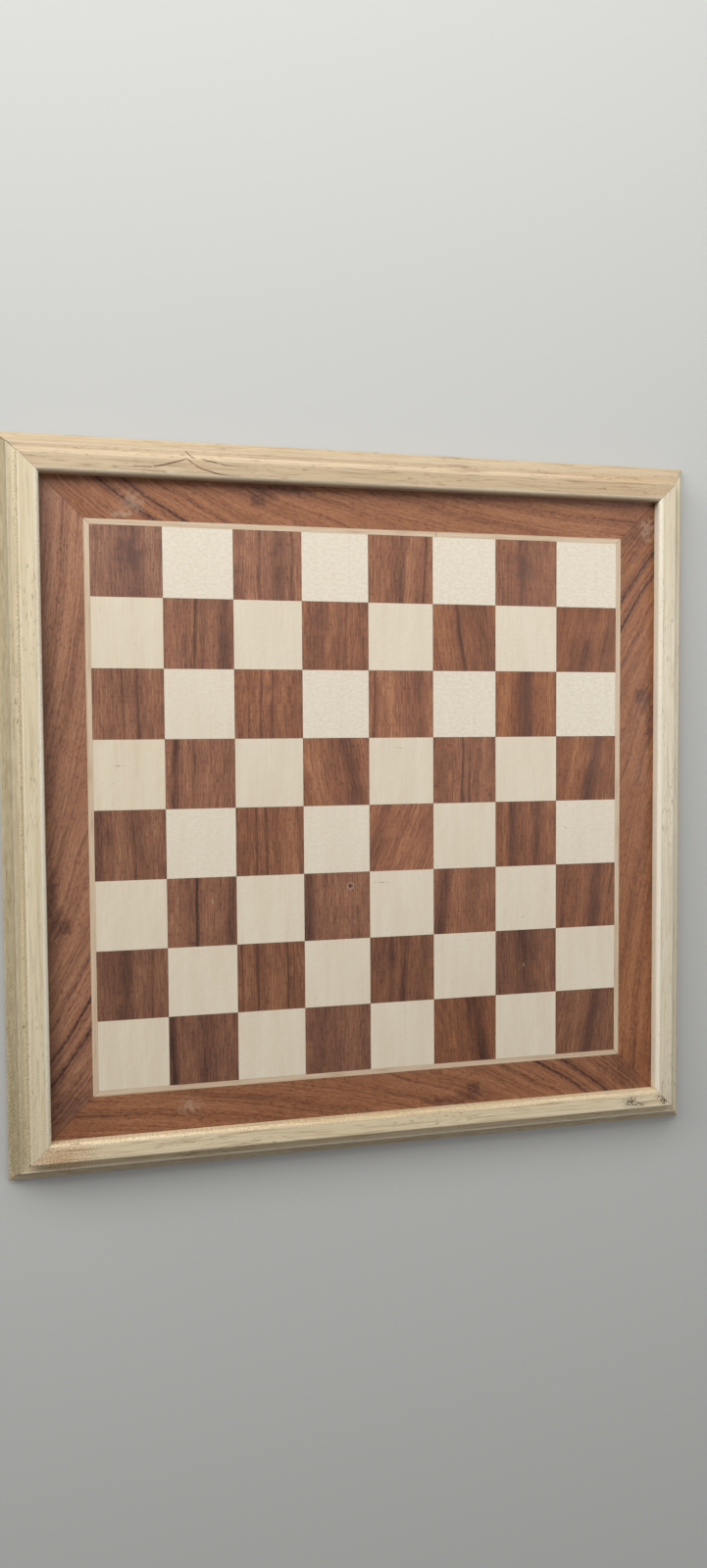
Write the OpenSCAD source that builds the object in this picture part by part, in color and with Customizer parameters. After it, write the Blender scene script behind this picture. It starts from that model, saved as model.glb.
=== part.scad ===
// Framed chessboard: a veneered panel held in a mitred, moulded wooden frame.
// Seen from above, +X is to the right and +Y is away. The file letters run from the back to the front,
// so file a lies at +Y and its first square, at -X, is dark. The origin is the middle of the footprint.

/* [Playing field] */
// Side of one square
square_side = 38; // [30:0.5:50]
// Thickness of the face veneers
face_veneer = 0.6; // [0.5:0.1:1.5]
// Width of the light inlay line round the field
inlay_width = 3; // [1.5:0.25:6]
// Width of the dark border that shows between the inlay line and the frame
border_width = 22; // [12:0.5:40]

/* [Panel] */
// Thickness of the core board
core_thickness = 8; // [7:0.5:12]
// Thickness of the veneer on the underside of the core
backing_veneer_thickness = 0.6; // [0.5:0.1:1.5]
// How far the frame's lip reaches over the edge of the panel
lip_cover = 5; // [3:0.25:6]
// Gap between the edge of the panel and the side of the rebate
panel_gap = 0.3; // [0.1:0.05:0.8]
// Height of the panel's underside above the underside of the frame
panel_setback = 1; // [0.5:0.25:3]

/* [Frame moulding] */
// Height of the frame's top above the playing surface
lip_height = 6.8; // [5:0.2:10]
// Radius of the rounded inner edge
inner_round = 2.2; // [0.5:0.1:3]
// Width of the flat top of the rail
flat_width = 7.4; // [5:0.2:14]
// Radius of the eased edge between the flat and the cove
flat_ease = 0.8; // [0.2:0.1:1.5]
// Height of the upright step above the cove
cove_step = 1.9; // [0.5:0.1:3]
// Radius of the cove
cove_radius = 3.1; // [1.5:0.1:4]
// Width of the bead between the cove and the skirt
bead_width = 2.9; // [1.5:0.1:5]
// Radius of the bead's outer edge
bead_ease = 0.6; // [0.2:0.1:1]
// Height of the bead's outer face
bead_face = 1.2; // [1:0.1:2]
// Width of the hollow skirt outside the bead
skirt_width = 6.6; // [4:0.1:12]
// How deep the skirt is hollowed, measured from its chord
skirt_hollow = 1.2; // [0.4:0.1:1.8]
// Height of the upright foot below the skirt
foot_height = 1.3; // [0.8:0.1:3]

/* [Mitre nails] */
// Length of each arm of a V nail
nail_arm = 5; // [3:0.25:8]
// Thickness of the nail's steel strip
nail_strip = 0.6; // [0.4:0.1:1]
// Height of a V nail
nail_height = 7; // [4:0.5:7.5]
// Distance of the first nail's point from the side of the rebate
nail_inset = 4; // [3:0.25:5]
// Distance between the two nails of a mitre
nail_spacing = 5; // [3:0.25:6]

/* [Felt pads] */
// Diameter of a felt pad
pad_diameter = 12; // [8:0.5:14]
// Thickness of a felt pad
pad_thickness = 1.5; // [1:0.25:4]
// Distance of a pad's centre from the inner corner of the frame, along the rail
pad_inset = 16; // [8:1:60]

/* [Hidden] */
// Squares along each side of the field
squares = 8;
// Names of the files, from the back of the board to the front
files = ["a", "b", "c", "d", "e", "f", "g", "h"];
// The sides of the board, each a quarter turn on from the right-hand side
side_turns = [["right", 0], ["back", 90], ["left", 180], ["front", 270]];

// Half widths, outwards from the middle of the board
field_half = squares * square_side / 2;
inlay_half = field_half + inlay_width;
wall_half = inlay_half + border_width;
rebate_half = wall_half + lip_cover;
panel_half = rebate_half - panel_gap;

// Heights, upwards from the table
frame_z = pad_thickness;
backing_z = frame_z + panel_setback;
core_z = backing_z + backing_veneer_thickness;
veneer_z = core_z + core_thickness;
play_z = veneer_z + face_veneer;
frame_top_z = play_z + lip_height;
cove_z = frame_top_z - flat_ease - cove_step;
bead_z = cove_z - cove_radius;
foot_z = frame_z + foot_height;

// Distances across the rail, outwards from its inner wall
flat_end = inner_round + flat_width;
cove_start = flat_end + flat_ease;
bead_start = cove_start + cove_radius;
bead_end = bead_start + bead_width;
rail_width = bead_end + skirt_width;
frame_half = wall_half + rail_width;
// Room beyond the frame for the shapes that cut the mitres
mitre_half = frame_half + 10;

// The hollow of the skirt is an arc through its upper and lower ends
skirt_top_z = bead_z - bead_face;
skirt_rise = skirt_top_z - foot_z;
skirt_chord = sqrt(skirt_width ^ 2 + skirt_rise ^ 2);
skirt_radius = (skirt_chord ^ 2 / 4 + skirt_hollow ^ 2) / (2 * skirt_hollow);
skirt_lean = atan2(skirt_width, skirt_rise);
skirt_half_turn = asin(skirt_chord / (2 * skirt_radius));
skirt_to_centre = skirt_radius - skirt_hollow;
skirt_centre_x = (bead_end + rail_width) / 2 + skirt_to_centre * cos(skirt_lean);
skirt_centre_z = (skirt_top_z + foot_z) / 2 + skirt_to_centre * sin(skirt_lean);

// Smoothness of the rounds when they are drawn
$fn = 64;

// What rounds off a corner: the square corner less the quarter disc, about the round's own centre
module round_off(centre, radius, turn) {
    translate(centre)
        rotate(turn)
            difference() {
                square(radius);
                circle(radius);
            }
}

// The moulding before its hollows are cut: across the rail from its inner wall, and up from the table
module moulding_blank() {
    polygon([
        [lip_cover, frame_z], [lip_cover, play_z], [0, play_z], [0, frame_top_z],
        [cove_start, frame_top_z], [cove_start, cove_z],
        [bead_start, bead_z], [bead_end, bead_z], [bead_end, skirt_top_z],
        [rail_width, foot_z], [rail_width, frame_z]
    ]);
}

// Section of the moulding: rounded inner edge, flat, cove, bead, hollow skirt and foot
module moulding_section() {
    difference() {
        moulding_blank();
        round_off([inner_round, frame_top_z - inner_round], inner_round, 90);
        round_off([flat_end, frame_top_z - flat_ease], flat_ease, 0);
        round_off([bead_end - bead_ease, bead_z - bead_ease], bead_ease, 0);
        translate([bead_start, cove_z])
            circle(cove_radius);
        intersection() {
            translate([skirt_centre_x, skirt_centre_z])
                circle(skirt_radius);
            translate([bead_end - skirt_hollow, foot_z])
                square([skirt_width + skirt_hollow, skirt_rise]);
        }
    }
}

// One side of a square ring, with mitred ends, lying on the XY plane on the board's right
module mitred_strip(inner_half, outer_half, thickness) {
    linear_extrude(thickness)
        polygon([[inner_half, -inner_half], [outer_half, -outer_half],
                 [outer_half, outer_half], [inner_half, inner_half]]);
}

// A flat square sheet centred on the board
module square_sheet(half, thickness) {
    linear_extrude(thickness)
        square(2 * half, center = true);
}

// A V nail with its point at the origin and its arms running to -X and -Y
module v_nail() {
    linear_extrude(nail_height)
        polygon([[0, 0], [-nail_arm, 0], [-nail_arm, -nail_strip],
                 [-nail_strip, -nail_strip], [-nail_strip, -nail_arm], [0, -nail_arm]]);
}

// The pair of V nails across the mitre at the back right corner
module mitre_nails() {
    for (i = [0:1]) {
        point = rebate_half + nail_inset + i * nail_spacing;
        translate([point, point, frame_z])
            v_nail();
    }
}

// The core board
module core_panel() {
    color("tan")
        translate([0, 0, core_z])
            square_sheet(panel_half, core_thickness);
}

// The veneer that balances the panel from below
module backing_veneer() {
    color("burlywood")
        translate([0, 0, backing_z])
            square_sheet(panel_half, backing_veneer_thickness);
}

// Every other square of one file, counted from its -X end
module squares_of_file(file, first) {
    for (i = [first:2:squares - 1])
        translate([i * square_side - field_half, field_half - (file + 1) * square_side, veneer_z])
            cube([square_side, square_side, face_veneer]);
}

// The dark squares of a file: the files next to it start with the other colour
module dark_squares(file) {
    color("sienna")
        squares_of_file(file, file % 2);
}

// The light squares of a file
module light_squares(file) {
    color("cornsilk")
        squares_of_file(file, 1 - file % 2);
}

// The light line round the field
module inlay_line(turn) {
    color("wheat")
        rotate([0, 0, turn])
            translate([0, 0, veneer_z])
                mitred_strip(field_half, inlay_half, face_veneer);
}

// The dark border, which runs on under the frame's lip
module border_veneer(turn) {
    color("saddlebrown")
        rotate([0, 0, turn])
            translate([0, 0, veneer_z])
                mitred_strip(inlay_half, panel_half, face_veneer);
}

// A rail of the frame: the moulding, mitred at both ends, with slots for the nails
module frame_rail(turn) {
    color("navajowhite")
        rotate([0, 0, turn])
            difference() {
                intersection() {
                    translate([wall_half, 0, 0])
                        rotate([90, 0, 0])
                            linear_extrude(2 * mitre_half, center = true)
                                moulding_section();
                    linear_extrude(frame_top_z + 1)
                        polygon([[0, 0], [mitre_half, -mitre_half], [mitre_half, mitre_half]]);
                }
                mitre_nails();
                rotate([0, 0, -90])
                    mitre_nails();
            }
}

// Two nails across each of the four mitres
module mitre_v_nails() {
    color("silver")
        for (side = side_turns)
            rotate([0, 0, side[1]])
                mitre_nails();
}

// A pad near each end of the left and right rails, in the middle of the rail's underside
module felt_pads() {
    pad_x = (rebate_half + frame_half) / 2;
    pad_y = wall_half - pad_inset;
    color("darkolivegreen")
        for (x = [-pad_x, pad_x], y = [-pad_y, pad_y])
            translate([x, y, 0])
                cylinder(h = pad_thickness, d = pad_diameter);
}

core_panel();
backing_veneer();
for (file = [0:squares - 1]) {
    dark_squares(file);
    light_squares(file);
}
for (side = side_turns) {
    inlay_line(side[1]);
    border_veneer(side[1]);
    frame_rail(side[1]);
}
mitre_v_nails();
felt_pads();
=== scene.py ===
# %% [markdown]
# # A veneered chessboard in a moulded frame
# This script dresses a chessboard that was first built in CAD. The real board is a thin panel: 64
# squares of sliced veneer inside a light line and a dark mitred border, all pressed onto a core. Four
# lengths of pale moulding, mitred at the corners, hold the panel in a rebate. Everything below is in
# metres, in the CAD model's own frame: +X is to the right, +Y is away and +Z is up.

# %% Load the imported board
import math

import bpy
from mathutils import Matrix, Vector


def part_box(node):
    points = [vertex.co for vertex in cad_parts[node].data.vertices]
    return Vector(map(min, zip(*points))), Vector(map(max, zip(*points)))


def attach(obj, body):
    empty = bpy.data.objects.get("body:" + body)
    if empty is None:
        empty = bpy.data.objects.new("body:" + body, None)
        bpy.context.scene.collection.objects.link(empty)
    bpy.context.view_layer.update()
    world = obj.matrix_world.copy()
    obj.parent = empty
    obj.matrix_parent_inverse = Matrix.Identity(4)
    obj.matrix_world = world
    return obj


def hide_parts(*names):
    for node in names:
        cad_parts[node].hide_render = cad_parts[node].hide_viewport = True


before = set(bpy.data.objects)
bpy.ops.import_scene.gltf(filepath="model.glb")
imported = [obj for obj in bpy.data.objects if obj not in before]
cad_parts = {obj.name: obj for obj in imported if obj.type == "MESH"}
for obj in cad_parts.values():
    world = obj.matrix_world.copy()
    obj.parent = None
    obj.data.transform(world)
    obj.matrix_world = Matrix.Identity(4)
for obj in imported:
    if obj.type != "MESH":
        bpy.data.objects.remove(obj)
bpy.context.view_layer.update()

scene = bpy.context.scene
MM = 0.001

# %% [markdown]
# ## The sizes, read from the CAD nodes
# The main sizes are read once from the boxes of CAD nodes, so the dressed pieces stay where the CAD
# says when a size changes there. The few that no box shows, such as the corners of the moulding, have
# a name in the cell that draws them.

# %% Measure the CAD nodes
MEASURED = ("file_a_dark_squares", "inlay_line_back", "border_veneer_back", "frame_rail_back")
row_a, line_back, border_back, rail_back = (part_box(name) for name in MEASURED)

side = row_a[1].y - row_a[0].y
veneer = row_a[1].z - row_a[0].z
field_half = row_a[1].y
line_half = line_back[1].y
wall_half = rail_back[0].y
frame_half = rail_back[1].y
play_z = border_back[1].z
frame_z = rail_back[0].z
top_z = rail_back[1].z
print(f"square {side / MM:.1f} mm, veneer {veneer / MM:.1f} mm, frame {2 * frame_half / MM:.0f} mm")

# %% [markdown]
# ## Camera
# The photograph was taken from above with a telephone, held a little to the left of the board and
# tilted 14 degrees to the right. The camera's place, turn and lens were found by fitting the corners
# of the squares, the line and the frame, so a plain fixed camera is enough here.

# %% Camera
camera = bpy.data.objects.new("camera", bpy.data.cameras.new("camera"))
scene.collection.objects.link(camera)
camera.location = (-0.15179, 0.04005, 0.60389)
camera.rotation_euler = [math.radians(a) for a in (-2.5486, -13.5526, -0.3811)]
camera.data.lens = 24.78
camera.data.clip_start = 0.01
scene.camera = camera
print("camera", round(camera.location.z, 3), "m above the floor")

# %% [markdown]
# ## Helpers for colours and nodes
# A painter reads a colour as an sRGB hex value, and a shader wants linear numbers, so one function
# turns the first into the second. Another adds a node to any tree and fills its sockets. A finish is a
# material: one function starts it, with its shader's constants on the shader's own sockets, and
# another lays the drawn colour, gloss and relief on the shader.

# %% Colours and nodes
def linear(colour):
    """An sRGB hex colour as linear red, green, blue and alpha."""
    parts = [int(colour[i:i + 2], 16) / 255 for i in (1, 3, 5)]
    return [c / 12.92 if c < 0.04045 else ((c + 0.055) / 1.055) ** 2.4 for c in parts] + [1.0]


def add(tree, kind, inputs=None, stops=None, **settings):
    """Adds one node. inputs fill its sockets with values, nodes or sockets; stops are a ramp's colours."""
    node = tree.nodes.new(kind)
    for name, value in settings.items():
        setattr(node, name, value)
    if stops:
        spots = node.color_ramp.elements
        while len(spots) < len(stops):
            spots.new(1.0)
        for spot, (place, value) in zip(spots, sorted(stops.items())):
            spot.position = place
            spot.color = linear(value) if isinstance(value, str) else (value, value, value, 1)
    for socket, value in (inputs or {}).items():
        if isinstance(value, bpy.types.Node):
            value = value.outputs[0]
        if isinstance(value, bpy.types.NodeSocket):
            tree.links.new(value, node.inputs[socket])
        else:
            node.inputs[socket].default_value = value
    return node


print("mid grey #808080 is", round(linear("#808080")[0], 3), "in linear numbers")

# %% A finish: its start, and its layers on the shader
# Satin lacquer is a thin, slightly rough clear coat, which gives wood a low and even gloss
SATIN_LACQUER = {"IOR": 1.5, "Coat_Weight": 0.12, "Coat_Roughness": 0.30}


def new_finish(name, **constants):
    """A material, its node tree and its shader, with the shader's constants set."""
    material = bpy.data.materials.new(name)
    material.use_nodes = True
    shader = material.node_tree.nodes["Principled BSDF"]
    for socket, value in constants.items():
        shader.inputs[socket.replace("_", " ")].default_value = value
    return material, material.node_tree, shader


def lay_finish(tree, shader, colour, gloss, relief, gloss_top=1.0, sunk=True):
    """Joins the drawn layers to the shader. gloss is a layer, the roughness where it is 0 and the one where
    it reaches gloss_top, or None. relief is a layer, its strength and its depth in mm, sunk or raised."""
    tree.links.new(colour, shader.inputs["Base Color"])
    if gloss:
        rough = add(tree, "ShaderNodeMapRange", {
            "Value": gloss[0], "From Max": gloss_top, "To Min": gloss[1], "To Max": gloss[2]})
        tree.links.new(rough.outputs[0], shader.inputs["Roughness"])
    bump = add(tree, "ShaderNodeBump", {
        "Height": relief[0], "Strength": relief[1], "Distance": relief[2] * MM}, invert=sunk)
    tree.links.new(bump.outputs[0], shader.inputs["Normal"])


print("satin lacquer:", SATIN_LACQUER)

# %% [markdown]
# ## Floor and light
# The board lies on a plain pale floor. Its light comes from a wide window behind it, so the squares
# nearest the window are the brightest and the frame's back wall throws a narrow shadow on the border.
# A large soft lamp close behind the board stands in for the window. The bright walls of the room are
# two high panels, right and left: they draw the white gloss lines along the frame's rounded edges. A
# wide, low lamp at the left fills the shadows. It is left out of reflections, because a low lamp that
# mirrors in the lacquer turns the whole board white when it is seen from the side. An even sky does
# the rest.

# %% Floor
floor_mesh = bpy.data.meshes.new("floor")
floor_mesh.from_pydata([(-4, -4, 0), (4, -4, 0), (4, 4, 0), (-4, 4, 0)], [], [(0, 1, 2, 3)])
floor = bpy.data.objects.new("floor", floor_mesh)
scene.collection.objects.link(floor)
floor_paint, _, _ = new_finish("matt_floor_paint", Base_Color=linear("#C9C9C6"), Roughness=0.9)
floor_mesh.materials.append(floor_paint)

# %% Window, walls, fill and sky
# Each lamp has its place, its size, its power and whether it shows in reflections
for name, place, size, power, glossy in (
        ("window", (-0.08, 0.75, 0.67), (1.3, 0.6), 7.7, True),
        ("right_wall", (1.15, 0.12, 1.25), (0.45, 1.0), 4.9, True),
        ("left_wall", (-1.5, 1.1, 1.4), (1.0, 1.2), 6.5, True),
        ("left_fill", (-1.5, 0.95, 0.6), (1.2, 1.0), 15.5, False)):
    lamp = bpy.data.lights.new(name, "AREA")
    lamp.shape, lamp.size, lamp.size_y, lamp.energy = "RECTANGLE", *size, power
    holder = bpy.data.objects.new(name, lamp)
    scene.collection.objects.link(holder)
    holder.location = place
    holder.rotation_euler = (-holder.location).to_track_quat("-Z", "Y").to_euler()
    holder.visible_camera = False
    holder.visible_glossy = glossy
    print(name, "lamp,", power, "W")

scene.world = bpy.data.worlds.new("studio")
scene.world.use_nodes = True
sky = scene.world.node_tree.nodes["Background"]
sky.inputs["Color"].default_value = linear("#F1F1F0")
sky.inputs["Strength"].default_value = 0.16
scene.view_settings.view_transform = "Standard"

# %% [markdown]
# ## Wood figure as layers of noise, and marks with ragged edges
# Every wood on this board is drawn the same way: clouds of noise, stretched along the grain until
# they look like growth bands, fibres or pores. A layer is given by the size of its marks in
# millimetres, across the grain, along it and in depth, which keeps the figure at its real scale.
# Knots, dents and worn spots are single marks: a distance from a place, with noise on its edge. Layers
# are then added up, or multiplied where one shows only through another, and colours are laid on.

# %% One layer of figure
# How deep marks with two sizes go. A leaf's number is its depth in metres, so each has its own figure
THROUGH_MM = 1000


def figure_layer(tree, place, marks_mm, low, high, detail, strength=1.0):
    """Noise with marks of that size, which rises from 0 to strength between the noise values low and high.
    detail is how many times finer noise is added to it."""
    cells = [1 / (size * MM) for size in (*marks_mm, THROUGH_MM)[:3]]
    scaled = add(tree, "ShaderNodeVectorMath", {0: place, 1: cells}, operation="MULTIPLY")
    cloud = add(tree, "ShaderNodeTexNoise", {"Vector": scaled, "Scale": 1.0, "Detail": detail})
    return add(tree, "ShaderNodeMapRange", {
        "Value": cloud, "From Min": low, "From Max": high, "To Max": strength},
        interpolation_type="SMOOTHSTEP")


print("fibres 0.5 mm wide are", round(1 / (0.5 * MM)), "cells of noise in a metre")

# %% Layers as one, and a colour laid on
def total(tree, *layers):
    """The sum of several layers."""
    result = layers[0]
    for layer in layers[1:]:
        result = add(tree, "ShaderNodeMath", {0: result, 1: layer}, operation="ADD")
    return result


def shared(tree, *layers):
    """The product of several layers: each shows only through the others."""
    result = layers[0]
    for layer in layers[1:]:
        result = add(tree, "ShaderNodeMath", {0: result, 1: layer}, operation="MULTIPLY")
    return result


def tint(tree, colour, mask, other):
    """The colour, turned into the other one where the mask is 1."""
    mixed = add(tree, "ShaderNodeMix", {0: mask, 6: colour, 7: linear(other)}, data_type="RGBA")
    return mixed.outputs[2]


print("layers ready")

# %% One mark with a ragged edge
def blot(tree, place, at_mm, size_mm, strength, ragged, grit_mm):
    """One mark around a place on a flat, with those half sizes. ragged breaks its edge into grit."""
    off = add(tree, "ShaderNodeVectorMath", {
        0: place, 1: (at_mm[0] * MM, at_mm[1] * MM, 0)}, operation="SUBTRACT")
    off = add(tree, "ShaderNodeVectorMath", {
        0: off, 1: (1 / (size_mm[0] * MM), 1 / (size_mm[1] * MM), 0)}, operation="MULTIPLY")
    far = add(tree, "ShaderNodeVectorMath", {0: off}, operation="LENGTH").outputs["Value"]
    grit = figure_layer(tree, place, (grit_mm, grit_mm), 0.3, 0.7, 2.0, ragged)

    # The mark is full while distance and grit add up to less than 0.4, and it has faded out at 1.4
    return add(tree, "ShaderNodeMapRange", {
        "Value": total(tree, far, grit), "From Min": 0.4, "From Max": 1.4, "To Min": strength, "To Max": 0.0},
        interpolation_type="SMOOTHSTEP")


print("marks ready")

# %% [markdown]
# ## Glue lines between the veneers
# Squares cut from a strip never meet perfectly: a thread of dark glue shows in the joint, and another
# in every mitre. A thread is a tint where the distance to the joint is almost 0. The squares lie on a
# regular grid, so the distance to the nearest grid line finds every joint of the field at once.

# %% A thread of glue, and the joints of the field
def glue_thread(tree, colour, distance, width_mm, strength, glue_colour):
    """The colour with a thread of glue along the line where the distance is 0."""
    thread = add(tree, "ShaderNodeMapRange", {
        "Value": distance, "From Min": 0.0, "From Max": width_mm * MM, "To Min": strength, "To Max": 0.0})
    return tint(tree, colour, thread, glue_colour)


def field_joints(tree, place):
    """The distance to the nearest joint between two squares."""
    split = add(tree, "ShaderNodeSeparateXYZ", {"Vector": place})
    across, along = (
        add(tree, "ShaderNodeMath", {0: split.outputs[axis], 1: side / 2}, operation="PINGPONG")
        for axis in ("X", "Y"))
    return add(tree, "ShaderNodeMath", {0: across, 1: along}, operation="MINIMUM")


print("joints every", round(side / MM, 1), "mm")

# %% [markdown]
# ## Dark squares: walnut veneer
# Walnut is sliced into leaves 0.6 mm thick. It gives soft brown growth bands, a dark purple-brown
# heart streak here and there, and short open pores that read as fine dashes. After gluing it was
# sanded flush and sprayed with a satin lacquer, so the gloss is low and even. Each square carries its
# place on the leaf as an attribute, because two neighbours were never cut side by side.

# %% Grain of the dark squares
walnut, tree, shader = new_finish("walnut_veneer_satin_lacquer", **SATIN_LACQUER)
place = add(tree, "ShaderNodeTexCoord").outputs["Object"]
leaf = add(tree, "ShaderNodeAttribute", attribute_name="leaf").outputs["Vector"]
leaf_split = add(tree, "ShaderNodeSeparateXYZ", {"Vector": leaf})

# The grain runs nearly straight: it sways by less than a millimetre along the leaf
SWAY_MM = 0.9
sway = figure_layer(tree, leaf, (20, 42), 0.2, 0.8, 1.0)
sway = add(tree, "ShaderNodeMath", {0: sway, 1: 2 * SWAY_MM * MM, 2: -SWAY_MM * MM}, operation="MULTIPLY_ADD")
across = total(tree, leaf_split.outputs["X"], sway)
grain = add(tree, "ShaderNodeCombineXYZ", {
    "X": across, "Y": leaf_split.outputs["Y"], "Z": leaf_split.outputs["Z"]})
print("the grain sways by", SWAY_MM, "mm to each side")

# %% Heart streaks: place on the leaf, half width and strength, from the cutting list
STREAKS = 4
streaks = []
for number in range(STREAKS):
    streak = add(tree, "ShaderNodeSeparateXYZ", {
        "Vector": add(tree, "ShaderNodeAttribute", attribute_name=f"streak_{number}").outputs["Vector"]})
    distance = add(tree, "ShaderNodeMath", {0: across, 1: streak.outputs["X"]}, operation="SUBTRACT")
    distance = add(tree, "ShaderNodeMath", {0: distance}, operation="ABSOLUTE")
    streaks.append(add(tree, "ShaderNodeMapRange", {
        "Value": distance, "From Min": 0.0, "From Max": streak.outputs["Y"],
        "To Min": streak.outputs["Z"], "To Max": 0.0}, interpolation_type="SMOOTHSTEP"))
fading = total(tree, figure_layer(tree, grain, (8, 50), 0.25, 0.75, 1.0, 0.7), 0.80)
heart = shared(tree, total(tree, *streaks), fading)
print(STREAKS, "streaks at most in a square")

# %% Bands, fibres and pores of the dark squares
bands = figure_layer(tree, grain, (10.0, 200), 0.30, 0.74, 1.0, 0.20)
lines = figure_layer(tree, grain, (1.1, 70), 0.46, 0.72, 1.0, 0.15)
clouds = figure_layer(tree, grain, (8, 16), 0.3, 0.7, 2.0, 0.10)

# Real fibres and pores are 0.1 to 0.3 mm wide, drawn here at 0.5 mm so that they show
fibres = figure_layer(tree, grain, (0.5, 11), 0.30, 0.70, 1.0, 0.26)
pores = figure_layer(tree, grain, (0.5, 2.6), 0.55, 0.70, 0.0, 0.18)
darkness = total(tree, heart, bands, lines, clouds, fibres, pores)
colour = add(tree, "ShaderNodeValToRGB", {"Fac": darkness}, {
    0.0: "#B3805F", 0.27: "#936249", 0.55: "#734B39", 0.85: "#55372B", 1.0: "#432A23"})
tone = add(tree, "ShaderNodeSeparateXYZ", {
    "Vector": add(tree, "ShaderNodeAttribute", attribute_name="tone").outputs["Vector"]})
colour = add(tree, "ShaderNodeHueSaturation", {
    "Color": colour, "Value": tone.outputs["X"], "Saturation": tone.outputs["Y"]})

# Round violet clouds in three squares, where the heartwood was dyed by its own minerals
for at_mm, size_mm, strength in (
        ((-130.5, 137.0), (9, 12), 0.55), ((-27.4, 102.0), (8, 11), 0.35), ((95.0, 134.0), (9, 12), 0.40)):
    colour = tint(tree, colour, blot(tree, place, at_mm, size_mm, strength, 0.7, 5.0), "#5A4038")
print("five layers and the heart streaks drawn")

# %% Marks of use on the dark squares, and their lacquer
# A round dent with a pale rim and a dark star
DENT_MM = (-11.4, -45.8)
dent = add(tree, "ShaderNodeVectorMath", {
    0: place, 1: (DENT_MM[0] * MM, DENT_MM[1] * MM, play_z)}, operation="DISTANCE")
rim = add(tree, "ShaderNodeMath", {
    0: dent.outputs["Value"], 1: 1.85 * MM, 2: 0.35 * MM}, operation="COMPARE")
colour = tint(tree, colour, shared(tree, rim, 0.5), "#B9A58C")
for arm_mm in ((1.5, 0.5), (0.5, 1.5)):
    colour = tint(tree, colour, blot(tree, place, DENT_MM, arm_mm, 0.85, 0.3, 0.8), "#2E2220")

# Two scratches and a nick, which are pale because they go through the lacquer
for at_mm, size_mm in (
        ((-89.3, -51.0), (0.35, 2.2)), ((93.5, -96.9), (0.5, 1.4)), ((-25.3, 68.0), (3.2, 0.3))):
    colour = tint(tree, colour, blot(tree, place, at_mm, size_mm, 0.5, 0.5, 0.7), "#D9C4AC")
colour = glue_thread(tree, colour, field_joints(tree, place), 0.2, 0.45, "#3A2218")
gloss = figure_layer(tree, leaf, (9, 14), 0.2, 0.8, 3.0)
lay_finish(tree, shader, colour, (gloss, 0.40, 0.52), (total(tree, pores, fibres), 0.5, 0.04))
print(walnut.name, "with", len(tree.nodes), "nodes")

# %% [markdown]
# ## Light squares: maple veneer
# Maple is close to plain: cream, with fine growth lines, faint slanting flames and now and then a
# brown speck. Some leaves are whiter and some creamier. A white leaf also shows a silky ripple, where
# its wavy fibres were cut through, so the ripple grows with the leaf's whiteness.

# %% Maple of the light squares
maple, tree, shader = new_finish("maple_veneer_satin_lacquer", **SATIN_LACQUER)
place = add(tree, "ShaderNodeTexCoord").outputs["Object"]
leaf = add(tree, "ShaderNodeAttribute", attribute_name="leaf").outputs["Vector"]
whiteness = add(tree, "ShaderNodeSeparateXYZ", {
    "Vector": add(tree, "ShaderNodeAttribute", attribute_name="tone").outputs["Vector"]}).outputs["Z"]
bands = figure_layer(tree, leaf, (8.0, 70), 0.3, 0.7, 2.0, 0.30)
lines = figure_layer(tree, leaf, (0.9, 30), 0.45, 0.75, 1.0, 0.24)

# Faint flames cross the grain where light catches fibres that rise and fall
slanted = add(tree, "ShaderNodeMapping", {"Vector": leaf, "Rotation": (0, 0, math.radians(38))})
flames = figure_layer(tree, slanted, (3.5, 15), 0.35, 0.7, 2.0, 0.12)
colour = add(tree, "ShaderNodeValToRGB", {"Fac": total(tree, bands, lines, flames)}, {
    0.0: "#EADDC5", 0.5: "#E2D1B7", 1.0: "#D4BF9F"})
colour = tint(tree, colour, whiteness, "#F1E8D6")
ripple = shared(tree, figure_layer(tree, leaf, (2.4, 1.5), 0.32, 0.68, 2.0, 0.28), whiteness)
colour = tint(tree, colour, ripple, "#C2AD8C")
specks = figure_layer(tree, leaf, (0.9, 1.3), 0.81, 0.85, 0.0, 0.35)
colour = tint(tree, colour, specks, "#8A7352")
print("maple in four layers, with specks")

# %% Vessels of the light squares, and their lacquer
# Short brown dashes where a few vessels of the wood were cut along
for at_mm, size_mm in (
        ((-138.7, 23.9), (4.6, 0.5)), ((17.5, 32.3), (3.0, 0.5)), ((8.0, -44.5), (6.5, 0.45)),
        ((93.1, -68.4), (0.7, 0.6)), ((120.5, -16.0), (1.3, 0.5))):
    colour = tint(tree, colour, blot(tree, place, at_mm, size_mm, 0.55, 1.1, 0.9), "#6E573A")
colour = glue_thread(tree, colour, field_joints(tree, place), 0.2, 0.3, "#7A5536")
lay_finish(tree, shader, colour, (ripple, 0.36, 0.48), (ripple, 0.6, 0.16), gloss_top=0.21)
print(maple.name, "with", len(tree.nodes), "nodes")

# %% [markdown]
# ## Border: four leaves of one walnut
# The maker cut the four border strips one after another from the same stack, and laid them head to
# tail. So all four carry one figure, turned by a quarter each time: steep dark streaks at the first
# corner, a small dark knot a quarter of the way along, and lines that level out towards the far end.
# One drawing is therefore enough, and a Mapping node turns it for each side. The streaks follow the
# contour lines of a height that climbs fast at first and then levels out, and a colour ramp over that
# height says how dark each line is.

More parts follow.
